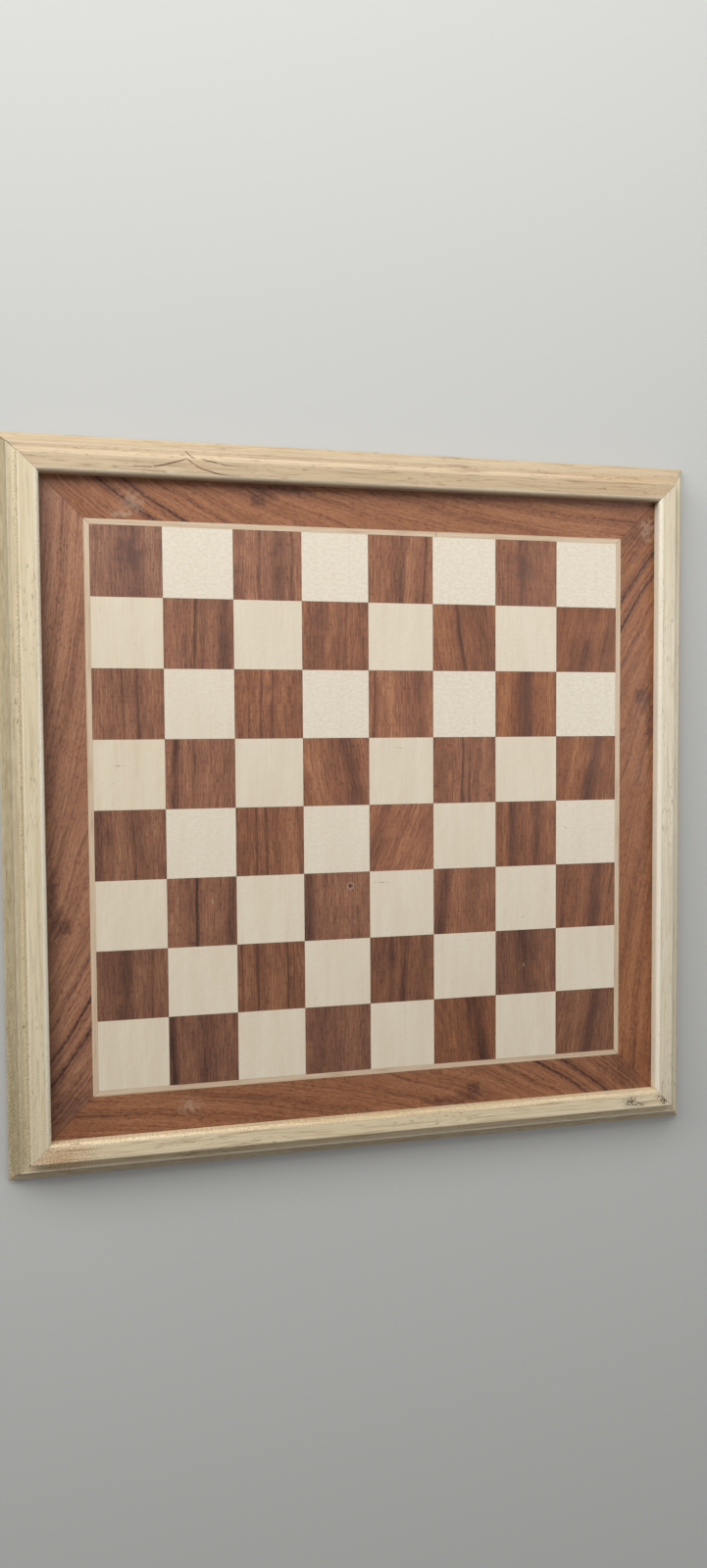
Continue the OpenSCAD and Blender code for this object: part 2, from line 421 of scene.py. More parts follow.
# %% The streaks of the border's leaf
# How dark the leaf is over its height, from 0 to 1, with the peaks of its dark streaks
STREAK_RAMP = {
    0.00: 0.18, 0.16: 0.24, 0.215: 0.14, 0.234: 0.18, 0.246: 0.40, 0.254: 0.14, 0.278: 0.18, 0.300: 0.26,
    0.320: 0.34, 0.327: 0.82, 0.335: 0.26, 0.352: 0.14, 0.372: 0.24, 0.388: 0.30, 0.395: 0.78, 0.403: 0.22,
    0.43: 0.12, 0.464: 0.16, 0.472: 0.44, 0.480: 0.12, 0.62: 0.20, 0.66: 0.12, 0.72: 0.22, 0.745: 0.12,
    0.79: 0.14, 0.81: 0.24, 0.83: 0.12, 0.87: 0.12, 0.885: 0.22, 0.905: 0.12, 0.94: 0.20, 1.00: 0.14}

# The heights where the ramp starts and ends, how far the streaks climb, and over what length
LOWEST_MM, HIGHEST_MM = -22, 128
CLIMB_MM, LEVELS_OUT_MM = 136, 139


def streak_height(tree, strip, along, inwards):
    """The height whose contour lines the streaks follow. They start at 45 degrees and level out."""
    fall = shared(tree, along, -1 / (LEVELS_OUT_MM * MM))
    fall = add(tree, "ShaderNodeMath", {0: fall}, operation="EXPONENT")
    climb = add(tree, "ShaderNodeMath", {
        0: fall, 1: -CLIMB_MM * MM, 2: CLIMB_MM * MM}, operation="MULTIPLY_ADD")
    sway = figure_layer(tree, strip, (44, 15), 0.2, 0.8, 1.0)
    return add(tree, "ShaderNodeMath", {
        0: sway, 1: 1.8 * MM, 2: total(tree, climb, inwards)}, operation="MULTIPLY_ADD")


def leaf_streaks(tree, strip, height):
    """How dark the leaf's streaks and its knot are. Their edges are jagged, as across cut fibres."""
    shiver = figure_layer(tree, strip, (2.2, 1.6), 0.2, 0.8, 3.0)
    jagged = add(tree, "ShaderNodeMath", {0: shiver, 1: 1.1 * MM, 2: height}, operation="MULTIPLY_ADD")
    share = add(tree, "ShaderNodeMapRange", {
        "Value": jagged, "From Min": LOWEST_MM * MM, "From Max": HIGHEST_MM * MM})
    return total(
        tree, add(tree, "ShaderNodeValToRGB", {"Fac": share}, STREAK_RAMP),
        blot(tree, strip, (122, -3), (22, 5), 0.30, 0.5, 5.0),
        blot(tree, strip, (116, -9), (6, 4), 0.30, 0.5, 3.0),
        blot(tree, strip, (233, -1), (64, 6), 0.10, 0.6, 4.0))


print(len(STREAK_RAMP), "stops, of the 32 that a ramp can hold")

# %% Walnut of one border strip
def border_walnut(name, turn, worn_at, lightness, warmth, frame_shadow, first_end, last_end):
    """The border's figure for the side that is turned that many degrees from the right-hand one.
    wax is how dark the painted shadow is that the frame casts on the border along its foot, and
    first_end and last_end are how much darker the heartwood is at the strip's two ends."""
    material, tree, shader = new_finish(name, **SATIN_LACQUER)
    place = add(tree, "ShaderNodeTexCoord").outputs["Object"]
    strip = add(tree, "ShaderNodeMapping", {
        "Vector": place, "Location": (wall_half, -wall_half, 0), "Rotation": (0, 0, math.radians(90 - turn))})
    split = add(tree, "ShaderNodeSeparateXYZ", {"Vector": strip})
    along, inwards = split.outputs["X"], split.outputs["Y"]
    height = streak_height(tree, strip, along, inwards)

    # The grain runs along the streaks. Z picks one leaf out of the noise
    grain = add(tree, "ShaderNodeCombineXYZ", {"X": height, "Y": along, "Z": 0.4})
    bands = figure_layer(tree, grain, (3.2, 120), 0.35, 0.75, 1.0, 0.14)
    lines = figure_layer(tree, grain, (0.9, 90), 0.52, 0.68, 1.0, 0.19)
    dark_ends = total(
        tree, blot(tree, strip, (18, -10), (20, 17), first_end, 0.5, 5.0),
        blot(tree, strip, (2 * wall_half / MM - 16, -10), (18, 17), last_end, 0.5, 5.0))

    # Real pores are 0.2 mm wide, drawn here at 0.5 mm so that they show
    fibres = figure_layer(tree, grain, (0.5, 9), 0.30, 0.70, 1.0, 0.15)
    pores = figure_layer(tree, grain, (0.5, 2.0), 0.56, 0.70, 0.0, 0.20)
    darkness = total(tree, leaf_streaks(tree, strip, height), dark_ends, bands, lines, fibres, pores)
    colour = add(tree, "ShaderNodeValToRGB", {"Fac": darkness}, {
        0.0: "#BB8560", 0.30: "#9C6645", 0.60: "#784A33", 0.85: "#533025", 1.0: "#3B231F"})
    colour = add(tree, "ShaderNodeHueSaturation", {"Color": colour, "Value": lightness, "Saturation": warmth})
    flecks = figure_layer(tree, grain, (0.6, 2.2), 0.58, 0.72, 0.0, 0.18)
    colour = tint(tree, colour, flecks, "#C79064")
    for at_mm, size_mm in worn_at:
        colour = tint(tree, colour, blot(tree, strip, at_mm, size_mm, 0.38, 0.8, 3.0), "#BFA68E")
    # Painted shadow of the frame: the border darkens over its last 8 mm towards the frame's foot
    painted_frame_shadow = add(tree, "ShaderNodeMapRange", {
        "Value": inwards, "From Min": -8 * MM, "From Max": 0.0, "To Max": frame_shadow})
    colour = tint(tree, colour, painted_frame_shadow, "#3A241A")

    # A mitre joint runs up the diagonal at each end of the strip
    other_end = add(tree, "ShaderNodeMath", {0: 2 * wall_half, 1: along}, operation="SUBTRACT")
    nearest = add(tree, "ShaderNodeMath", {0: along, 1: other_end}, operation="MINIMUM")
    colour = glue_thread(tree, colour, total(tree, nearest, inwards), 0.4, 0.6, "#24140F")
    gloss = figure_layer(tree, place, (9, 9), 0.2, 0.8, 3.0)
    lay_finish(tree, shader, colour, (gloss, 0.38, 0.52), (total(tree, pores, fibres), 0.5, 0.04))
    return material


print("border walnut ready")

# %% The four border strips
# How far each side is turned from the right-hand one, in degrees
SIDES = {"right": 0, "back": 90, "left": 180, "front": 270}

# Worn patches: a place along the strip and away from the frame, and the patch's half sizes, in mm
WORN = {"back": [((47, -13), (9, 8)), ((40, -19), (7, 3))], "front": [((280, -13), (9, 6))],
        "right": [((16, -5), (9, 6))], "left": []}

# Lightness, warmth, how dark the frame's painted shadow is, and the darkness of the first and of the last end
TONES = {
    "back": (0.99, 1.03, 0.0, 0.0, 0.14), "front": (0.93, 1.0, 0.1, 0.16, 0.10),
    "right": (0.96, 1.05, 0.05, 0.16, 0.14), "left": (1.07, 0.91, 0.5, 0.20, 0.0)}
for name, turn in SIDES.items():
    material = border_walnut(f"border_walnut_satin_lacquer_{name}", turn, WORN[name], *TONES[name])
    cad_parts[f"border_veneer_{name}"].material_slots[0].material = material
    print(material.name, "with", len(material.node_tree.nodes), "nodes")

# %% [markdown]
# ## Inlay line: a strip of maple stringing
# The line is cut from warmer maple than the squares and runs round the field in four mitred lengths.
# The eye sees it by its two joints, a grey thread of glue against the light squares and a dark one
# against the border, and by the hairline of each mitre.

# %% Maple of one inlay line
def line_maple(name, turn, cracked_at):
    """The line's grain and joints for the side that is turned that many degrees. cracked_at are the places
    of small cracks, out from the middle of the board and along the line, in mm."""
    material, tree, shader = new_finish(name, **SATIN_LACQUER)
    place = add(tree, "ShaderNodeTexCoord").outputs["Object"]
    strip = add(tree, "ShaderNodeMapping", {"Vector": place, "Rotation": (0, 0, math.radians(-turn))})
    split = add(tree, "ShaderNodeSeparateXYZ", {"Vector": strip})
    bands = figure_layer(tree, strip, (1.4, 60), 0.3, 0.7, 2.0, 0.5)
    lines = figure_layer(tree, strip, (0.5, 14), 0.45, 0.75, 1.0, 0.4)
    shade = total(tree, bands, lines)
    colour = add(tree, "ShaderNodeValToRGB", {"Fac": shade}, {
        0.0: "#DFC8AC", 0.5: "#D1B799", 1.0: "#BA9B79"})
    for at_mm in cracked_at:
        colour = tint(tree, colour, blot(tree, strip, at_mm, (1.6, 0.3), 0.8, 0.4, 0.8), "#4A3324")
    along = add(tree, "ShaderNodeMath", {0: split.outputs["Y"]}, operation="ABSOLUTE")
    to_mitre = add(tree, "ShaderNodeMath", {0: split.outputs["X"], 1: along}, operation="SUBTRACT")
    inner = add(tree, "ShaderNodeMath", {0: split.outputs["X"], 1: field_half}, operation="SUBTRACT")
    outer = add(tree, "ShaderNodeMath", {0: line_half, 1: split.outputs["X"]}, operation="SUBTRACT")
    colour = glue_thread(tree, colour, inner, 0.30, 0.30, "#8A8468")
    colour = glue_thread(tree, colour, outer, 0.20, 0.5, "#5B3C2B")
    colour = glue_thread(tree, colour, to_mitre, 0.30, 0.75, "#4A3324")
    lay_finish(tree, shader, colour, (bands, 0.38, 0.46), (shade, 0.4, 0.03), gloss_top=0.5)
    return material


for name, turn in SIDES.items():
    cracked_at = [(153.5, -40.2)] if name == "back" else []
    material = line_maple(f"maple_stringing_satin_lacquer_{name}", turn, cracked_at)
    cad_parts[f"inlay_line_{name}"].material_slots[0].material = material
    print(material.name, "with", len(material.node_tree.nodes), "nodes")

# %% [markdown]
# ## Frame: ramin moulding under clear lacquer
# Ramin is the usual wood for small mouldings: pale straw, straight and even, with long faint lines
# and short brown dashes where its pores were cut along. The figure is drawn in three dimensions, so a
# line that runs out of the flat turns up again in the cove, as it does in solid wood. Over the bare
# wood come painted shade, in the cove, under the bead, on the skirt and at the foot of the inner wall,
# and painted highlights on the inner wall and round, the flat's outer edge and the bead. The front
# rail has lost most of its lacquer.

# %% Bare ramin
def bare_ramin(tree, rail, tones, line_strength):
    """Ramin in its light, shaded and line colours, and how deep its pores and lines are."""
    sway = figure_layer(tree, rail, (14, 70, 14), 0.2, 0.8, 1.0)
    sway = add(tree, "ShaderNodeMath", {0: sway, 1: 2.0 * MM, 2: -1.0 * MM}, operation="MULTIPLY_ADD")
    grain = add(tree, "ShaderNodeVectorMath", {
        0: rail, 1: add(tree, "ShaderNodeCombineXYZ", {"X": sway, "Z": sway})}, operation="ADD")
    bands = figure_layer(tree, grain, (6, 220, 6), 0.3, 0.7, 2.0, 0.5)

    # Real fibres and pores are 0.1 to 0.3 mm wide, drawn here at 0.5 to 0.6 mm so that they show
    fibres = figure_layer(tree, grain, (0.6, 20, 0.6), 0.30, 0.74, 1.0, 0.36)
    colour = tint(tree, linear(tones[0]), total(tree, bands, fibres), tones[1])
    lines = total(
        tree, figure_layer(tree, grain, (1.1, 150, 1.1), 0.52, 0.70, 1.0, 0.6 * line_strength),
        figure_layer(tree, grain, (0.6, 34, 0.6), 0.56, 0.72, 1.0, line_strength))
    colour = tint(tree, colour, lines, tones[2])
    dashes = shared(
        tree, figure_layer(tree, grain, (0.5, 5, 0.5), 0.66, 0.74, 0.0),
        figure_layer(tree, grain, (7, 40, 7), 0.44, 0.62, 1.0, 0.55))
    return tint(tree, colour, dashes, "#80603A"), total(tree, dashes, lines, fibres)


print("bare ramin ready")

# %% The crown of a growth ring
def crown_rings(tree, colour, rail, along, out, crown_at):
    """The colour with two dark rings, which run up to a peak at that place along the rail, in mm, and down
    again. A ring lies where the way out from the inner wall and the fall from its peak reach its level."""
    past = total(tree, along, -crown_at * MM)
    steeper = add(tree, "ShaderNodeMath", {0: past, 1: 0.0}, operation="LESS_THAN")
    to_crown = add(tree, "ShaderNodeMath", {0: past}, operation="ABSOLUTE")

    # Towards the rail's middle a ring falls by 8.5 mm, mostly within 9 mm. Beyond the crown it falls by
    # 6.5 mm, mostly within 13 mm
    rate = add(tree, "ShaderNodeMapRange", {
        "Value": steeper, "To Min": -1 / (13 * MM), "To Max": -1 / (9 * MM)})
    depth = add(tree, "ShaderNodeMapRange", {"Value": steeper, "To Min": 6.5 * MM, "To Max": 8.5 * MM})
    still_up = add(tree, "ShaderNodeMath", {0: shared(tree, to_crown, rate)}, operation="EXPONENT")
    fallen = add(tree, "ShaderNodeMath", {0: 1.0, 1: still_up}, operation="SUBTRACT")
    wobble = figure_layer(tree, rail, (10, 8, 10), 0.2, 0.8, 1.0, 0.8 * MM)
    level = total(tree, out, shared(tree, fallen, depth), wobble)

    # The rings are broken in places, and they fade out between 16 and 36 mm from the crown
    near = add(tree, "ShaderNodeMapRange", {
        "Value": to_crown, "From Min": 16 * MM, "From Max": 36 * MM, "To Min": 1.0, "To Max": 0.0})
    near = shared(tree, near, figure_layer(tree, rail, (3, 6, 3), 0.24, 0.42, 2.0))
    for level_mm, shown in ((10.4, near), (15.8, shared(tree, near, steeper))):
        ring = add(tree, "ShaderNodeMath", {0: total(tree, level, -level_mm * MM)}, operation="ABSOLUTE")
        ring = add(tree, "ShaderNodeMapRange", {
            "Value": ring, "From Min": 0.15 * MM, "From Max": 0.55 * MM, "To Min": shown, "To Max": 0.0})
        colour = tint(tree, colour, ring, "#6A4626")
    return colour


print("crown ready")

# %% Bands of painted shade and painted highlight
def bands_along(tree, colour, out, bands):
    """The colour with bands that run along the rail. A band has four places, in mm from the inner wall
    outwards: where it starts, is full, is still full and ends. Then come its strength, cloud and colour."""
    for places_mm, strength, cloud, band_colour in bands:
        start, full, last, end = (place * MM for place in places_mm)
        rise = add(tree, "ShaderNodeMapRange", {
            "Value": out, "From Min": start, "From Max": full, "To Max": strength})
        drop = add(tree, "ShaderNodeMapRange", {
            "Value": out, "From Min": last, "From Max": end, "To Min": 1.0, "To Max": 0.0})
        colour = tint(tree, colour, shared(tree, rise, drop, cloud), band_colour)
    return colour


print("bands ready")

# %% Ramin of one frame rail
# Colours of the painted shade in the cove and under the bead, of the painted highlights, and of the painted
# shade at the foot of the inner wall
COVE_SHADE, PAINTED_HIGHLIGHT, FOOT_SHADE = "#8C6F48", "#F7F0DC", "#4B3322"


def frame_ramin(name, turn, seed, polish, tones, line_strength, painted_highlights, skirt, cove, foot, marks,
                crown_at=None):
    """The frame's wood for the side that is turned that many degrees. seed says where in the noise the rail
    lies, in metres, and polish is how much lacquer is left. rubbed is how strong the painted highlights
    are on the inner round, the flat's outer edge and the bead. skirt is a strength and a colour of painted
    shade on the skirt, and cove and foot are the strengths of painted shade in the cove and at the foot
    of the inner wall. marks are knots, bare spots, ruddy patches and patches of painted shade and of a
    dimmer painted highlight: (along, out from the inner wall) and half sizes in mm, strength and colour.
    crown_at is where the crown of a growth ring was cut, in mm along the rail."""
    material, tree, shader = new_finish(name, IOR=1.5, Coat_Weight=polish, Coat_Roughness=0.18)
    place = add(tree, "ShaderNodeTexCoord").outputs["Object"]
    unturned = add(tree, "ShaderNodeMapping", {"Vector": place, "Rotation": (0, 0, math.radians(-turn))})
    split = add(tree, "ShaderNodeSeparateXYZ", {"Vector": unturned})
    along, up = split.outputs["Y"], split.outputs["Z"]
    out = add(tree, "ShaderNodeMath", {0: split.outputs["X"], 1: wall_half}, operation="SUBTRACT")
    rail = add(tree, "ShaderNodeVectorMath", {0: unturned, 1: (0, seed, 0)}, operation="ADD")
    colour, sunken = bare_ramin(tree, rail, tones, line_strength)
    if crown_at is not None:
        colour = crown_rings(tree, colour, rail, along, out, crown_at)

    # The painted shade, the painted highlights and the marks fade out above the sawn underside
    upper = add(tree, "ShaderNodeMapRange", {
        "Value": up, "From Min": frame_z + 0.1 * MM, "From Max": frame_z + 0.6 * MM})
    # Two clouds break up the bands below: the first the painted shade, the second the painted highlights
    shade_cloud = figure_layer(tree, rail, (2.5, 8, 2.5), 0.2, 0.8, 3.0, 0.5)
    shade_cloud = shared(tree, total(tree, shade_cloud, 0.6), upper)
    highlight_cloud = shared(tree, figure_layer(tree, rail, (1.2, 2.4, 1.2), 0.15, 0.48, 3.0), upper)
    # Painted shade in the cove, under the bead and on the skirt, then painted highlights on the inner wall
    # and round, on the flat's outer edge and on the bead
    colour = bands_along(tree, colour, out, (
        ((10.2, 10.9, 11.1, 12.6), cove, shade_cloud, COVE_SHADE),
        ((15.9, 16.6, 16.7, 17.8), cove, shade_cloud, COVE_SHADE),
        ((12.5, 16.5, 19.5, 30.0), skirt[0], shade_cloud, skirt[1]),
        ((-0.3, 0.1, 1.7, 2.5), painted_highlights[0], highlight_cloud, PAINTED_HIGHLIGHT),
        ((9.5, 10.0, 10.2, 10.6), painted_highlights[1], highlight_cloud, PAINTED_HIGHLIGHT),
        ((14.6, 15.6, 16.0, 16.5), painted_highlights[2], highlight_cloud, PAINTED_HIGHLIGHT)))

    # Painted shade in the corner at the foot of the inner wall
    low = add(tree, "ShaderNodeMapRange", {
        "Value": up, "From Min": play_z, "From Max": play_z + 0.7 * MM, "To Min": foot, "To Max": 0.0})
    inside = add(tree, "ShaderNodeMapRange", {
        "Value": out, "From Min": 0.3 * MM, "From Max": 0.6 * MM, "To Min": 1.0, "To Max": 0.0})
    colour = tint(tree, colour, shared(tree, low, inside), FOOT_SHADE)
    flat = add(tree, "ShaderNodeCombineXYZ", {"X": along, "Y": out})
    for at_mm, size_mm, strength, mark_colour in marks:
        mark = shared(tree, blot(tree, flat, at_mm, size_mm, strength, 1.1, 0.9), upper)
        colour = tint(tree, colour, mark, mark_colour)

    # The mitre shows as a thin brown line
    from_middle = add(tree, "ShaderNodeMath", {0: along}, operation="ABSOLUTE")
    to_mitre = add(tree, "ShaderNodeMath", {0: split.outputs["X"], 1: from_middle}, operation="SUBTRACT")
    colour = glue_thread(tree, colour, to_mitre, 0.3, 0.45, "#6A4A2A")
    gloss = figure_layer(tree, rail, (6, 20, 6), 0.2, 0.8, 3.0)
    lay_finish(tree, shader, colour, (gloss, 0.34, 0.48), (sunken, 0.5, 0.05))
    return material


print("frame ramin ready")

# %% The four frame rails
# The colours of the marks, and what differs from rail to rail
# The fourth of these colours paints shade on the left rail's skirt, more of it towards the front end
KNOT, WORN_BARE, RUDDY, FRONT_END_SHADE = "#5E4024", "#3E2D1B", "#BD8C57", "#7F6A3C"
# These three paint light: the first, a duller cream, dims the painted highlight on parts of the left rail's
# inner round; the second paints shade on the front rail's inner round; the third paints shade on the floor of
# the left rail's cove
DIM_HIGHLIGHT, SHADED_ROUND, COVE_FLOOR_SHADE = "#DDCBA8", "#C4AA7C", "#8F7B52"
# In every rail, the skirt's strength and colour and the cove and foot strengths are painted shade, and the
# three numbers before the skirt are painted highlights
RAILS = {
    "right": {
        "seed": 0.0, "polish": 0.45, "tones": ("#EADEC5", "#D8C8A8", "#B09A74"), "line_strength": 0.40,
        "painted_highlights": (0.8, 0.6, 0.4), "skirt": (0.2, "#8A7340"), "cove": 0.30, "foot": 0.0,
        "marks": [((107, 8.4), (1.8, 0.8), 0.7, KNOT), ((7, 8.4), (1.8, 0.6), 0.7, KNOT)]},
    "back": {
        "seed": 1.3, "polish": 0.45, "tones": ("#D3BD9C", "#C7AE8A", "#8E6F48"), "line_strength": 0.50,
        "painted_highlights": (0.3, 0.1, 0.1), "skirt": (0.15, "#9C8660"), "cove": 0.10, "foot": 0.5, "crown_at": 101,
        "marks": [
            ((-150, 8), (60, 14), 0.30, RUDDY), ((94, 6.5), (11, 4.0), 0.40, RUDDY),
            ((-141, 5.6), (1.3, 1.0), 0.9, KNOT), ((-139, 5.2), (3.5, 0.4), 0.7, KNOT),
            ((127, 7.0), (1.6, 0.5), 0.7, KNOT), ((150, 7.8), (1.4, 0.4), 0.6, KNOT)]},
    "left": {
        "seed": 2.7, "polish": 0.45, "tones": ("#E9DABB", "#D6C49F", "#A58F68"), "line_strength": 0.32,
        "painted_highlights": (0.85, 0.4, 0.2), "skirt": (0.62, "#7C6739"), "cove": 0.30, "foot": 0.5,
        "marks": [
            ((114, 13.4), (1.4, 0.8), 0.8, KNOT), ((80, 7.2), (7.0, 0.4), 0.6, KNOT),
            ((-128, 6.2), (2.6, 0.5), 0.7, KNOT), ((-85, 8.0), (1.2, 0.6), 0.6, KNOT),
            ((-18, 6.5), (1.2, 0.6), 0.6, KNOT), ((170, 21), (150, 6), 0.45, FRONT_END_SHADE),
            ((180, 16), (70, 14), 0.30, FRONT_END_SHADE), ((175, 0.8), (60, 2.2), 0.8, DIM_HIGHLIGHT),
            ((-110, 0.8), (100, 2.2), 0.8, DIM_HIGHLIGHT), ((0, 11.6), (400, 1.6), 0.50, COVE_FLOOR_SHADE)]},
    "front": {
        "seed": 4.1, "polish": 0.10, "tones": ("#F2E1C1", "#DFC9A2", "#A48759"), "line_strength": 0.55,
        "painted_highlights": (0.0, 0.1, 0.5), "skirt": (0.45, "#9A7447"), "cove": 0.34, "foot": 0.5,
        "marks": [
            ((-172, 8), (26, 14), 0.70, RUDDY), ((160, 5.8), (6.5, 4.4), 1.0, WORN_BARE),
            ((166, 7.6), (6.5, 2.2), 0.8, WORN_BARE), ((182.5, 6.4), (4.6, 4.4), 1.0, WORN_BARE),
            ((179.5, 4.2), (4.6, 2.0), 0.8, WORN_BARE), ((-164.5, 0.6), (4.5, 0.8), 0.6, KNOT),
            ((0, 0.8), (300, 2.4), 0.7, SHADED_ROUND)]}}
ramin = {
    name: frame_ramin(f"ramin_moulding_clear_lacquer_{name}", SIDES[name], **values)
    for name, values in RAILS.items()}
print("ramin for", ", ".join(ramin))

# %% [markdown]
# ## A small kit for Geometry Nodes
# What repeats or follows a rule is grown by Geometry Nodes: the squares, the frame's rails and the
# felt feet. One function starts a tree with named inputs. Another runs a tree on an object and keeps
# the result as a plain mesh, because the finished piece has to stand without its modifier. A third
# makes the loose points on which a tree sets its pieces, with the numbers that each piece needs.

# %% Start a tree
def new_tree(name, sizes):
    """A geometry tree with named inputs. sizes gives each input's kind of socket."""
    tree = bpy.data.node_groups.new(name, "GeometryNodeTree")
    tree.interface.new_socket("Geometry", in_out="INPUT", socket_type="NodeSocketGeometry")
    for label, kind in sizes.items():
        tree.interface.new_socket(label, in_out="INPUT", socket_type="NodeSocket" + kind)
    tree.interface.new_socket("Geometry", in_out="OUTPUT", socket_type="NodeSocketGeometry")
    return tree, tree.nodes.new("NodeGroupInput"), tree.nodes.new("NodeGroupOutput")


print("trees ready")

# %% Run a tree, and keep its result
HELPERS = ("custom_normal", "local", "cut", "station", "section", "inward")


def grow(name, tree, source, values):
    """Runs the tree on a source mesh, and returns the result as a new plain piece."""
    seedling = bpy.data.objects.new(name + "_seedling", source)
    scene.collection.objects.link(seedling)
    build = seedling.modifiers.new("build", "NODES")
    build.node_group = tree
    for item in tree.interface.items_tree:
        if item.in_out == "INPUT" and item.name in values:
            build[item.identifier] = values[item.name]
    evaluated = seedling.evaluated_get(bpy.context.evaluated_depsgraph_get())
    mesh = bpy.data.meshes.new_from_object(evaluated)
    seedling.modifiers.remove(build)
    bpy.data.objects.remove(seedling)
    mesh.name = name
    mesh.materials.clear()
    mesh.materials.append(values["Material"])
    mesh.polygons.foreach_set("material_index", [0] * len(mesh.polygons))
    for label in HELPERS:
        if label in mesh.attributes:
            mesh.attributes.remove(mesh.attributes[label])
    piece = bpy.data.objects.new(name, mesh)
    scene.collection.objects.link(piece)
    return piece


print("grown pieces drop these:", ", ".join(HELPERS))

# %% Points that carry numbers
def write_vectors(mesh, label, values):
    """Gives every point of a mesh three numbers under that name."""
    layer = mesh.attributes.new(label, "FLOAT_VECTOR", "POINT")
    layer.data.foreach_set("vector", [number for value in values for number in value])


def cloud_of_points(name, places, **attributes):
    """A mesh of loose points that carry three numbers each under every name."""
    mesh = bpy.data.meshes.new(name)
    mesh.from_pydata(places, [], [])
    for label, values in attributes.items():
        write_vectors(mesh, label, values)
    return mesh


print("kit ready")

# %% [markdown]
# ## The 64 squares
# A square is a flat tile whose upper edge is broken by a hair, 0.06 mm, where sanding rounds the
# joint. The maker's cutting list below says how each dark square was cut from its leaf: how far its
# grain leans to the right on its way up, how light and how warm the leaf is, and its streaks. Each
# streak has its place, as a share of the square's width from the left, its half width in millimetres
# and its strength, and a strength below zero is a pale streak. The tree puts a tile on every point
# and writes each vertex's place on the leaf, which the materials above read.

# %% The cutting list of the dark squares
CUTTING_LIST = {
    "a": [(0.00, 1.05, 0.90, [(0.53, 13, 0.12)]),
          (0.00, 1.05, 0.95, [(0.27, 4.5, -0.10), (0.37, 1.2, 0.25), (0.67, 5, 0.18), (0.86, 1.2, 0.22)]),
          (0.02, 1.05, 1.00, [(0.50, 5, 0.20), (0.62, 4, -0.12), (0.88, 1.3, 0.28)]),
          (0.00, 1.00, 1.00, [(0.45, 11, 0.10)])],
    "b": [(0.03, 1.00, 0.95, [(0.44, 1.5, 0.42), (0.87, 5, 0.18)]),
          (-0.02, 1.05, 1.00, [(0.30, 10, 0.08), (0.66, 1.0, 0.18)]),
          (-0.12, 1.00, 1.05, [(0.18, 8, -0.08), (0.44, 1.5, 0.34), (0.70, 10, 0.14)]),
          (0.17, 0.95, 1.10, [(0.57, 5, 0.22), (0.30, 1.2, 0.15), (0.80, 1.2, 0.15)])],
    "c": [(0.00, 1.00, 0.95, [(0.42, 1.0, 0.28), (0.63, 1.0, 0.24)]),
          (0.00, 1.05, 1.00, [(0.38, 1.1, 0.30), (0.20, 0.9, 0.18), (0.55, 0.9, 0.18)]),
          (0.00, 1.15, 1.00, [(0.18, 3, -0.10), (0.33, 3, -0.10), (0.08, 1.0, 0.25), (0.80, 6, 0.14)]),
          (0.02, 1.00, 1.10, [(0.52, 6, 0.34), (0.20, 5, -0.08), (0.85, 5, -0.08)])],
    "d": [(0.03, 1.05, 0.95, [(0.12, 2.6, 0.38), (0.40, 1.0, 0.12)]),
          (-0.16, 1.05, 1.00, [(0.25, 8, -0.12), (0.67, 9, 0.30)]),
          (0.00, 1.05, 1.00, [(0.47, 1.2, 0.32), (0.58, 1.2, 0.26)]),
          (0.15, 0.95, 1.10, [(0.25, 3, -0.12), (0.62, 6, 0.28)])],
    "e": [(0.00, 0.90, 0.95, [(0.02, 4, 0.24), (0.55, 1.0, 0.20)]),
          (0.00, 0.95, 1.00, [(0.30, 1.0, 0.28), (0.45, 1.0, 0.22), (0.60, 3, 0.16), (0.82, 5, -0.14)]),
          (0.40, 1.20, 1.00, [(0.40, 1.6, -0.12), (0.10, 9, 0.16)]),
          (0.00, 0.95, 1.05, [(0.27, 4, 0.26), (0.67, 4, 0.26)])],
    "f": [(0.02, 0.95, 0.95, [(0.43, 1.3, 0.38), (0.92, 4, 0.22)]),
          (0.00, 1.00, 0.95, [(0.05, 4.5, 0.30)]),
          (0.05, 1.00, 1.00, [(0.12, 5, 0.28)]),
          (0.12, 0.95, 1.05, [(0.15, 4, 0.20), (0.68, 6, 0.24), (0.90, 1.0, 0.20)])],
    # The dark squares of the two front rows, g and h, are set darker than those of the other rows
    "g": [(0.00, 0.80, 0.95, [(0.37, 9, 0.14), (0.77, 1.1, 0.24)]),
          (0.00, 0.85, 1.00, [(0.08, 1.1, 0.20), (0.30, 1.1, 0.24), (0.74, 1.1, 0.24), (0.50, 4, -0.10)]),
          (0.02, 0.80, 1.00, [(0.33, 3, 0.28), (0.53, 3, 0.26)]),
          (0.00, 0.80, 1.00, [(0.45, 8, 0.28)])],
    "h": [(0.00, 0.80, 0.95, [(0.05, 3.5, 0.42), (0.50, 6, 0.18)]),
          (0.00, 0.90, 0.95, [(0.35, 8, 0.22)]),
          (-0.10, 0.85, 1.05, [(0.68, 7, 0.40)]),
          (0.14, 0.80, 1.00, [(0.35, 3, -0.10), (0.62, 6, 0.20)])]}
print(sum(len(row) for row in CUTTING_LIST.values()), "dark squares on the list")

# %% A tree that lays squares: the tile
squares_tree, start, end = new_tree("veneer_squares", {
    "Side": "Float", "Thickness": "Float", "Arris": "Float", "Material": "Material"})
tree = squares_tree
size = add(tree, "ShaderNodeCombineXYZ", {
    "X": start.outputs["Side"], "Y": start.outputs["Side"], "Z": start.outputs["Thickness"]})
block = add(tree, "GeometryNodeMeshCube", {"Size": size, "Vertices X": 2, "Vertices Y": 2, "Vertices Z": 3})
here = add(tree, "GeometryNodeInputPosition")
up = add(tree, "ShaderNodeSeparateXYZ", {"Vector": here}).outputs["Z"]

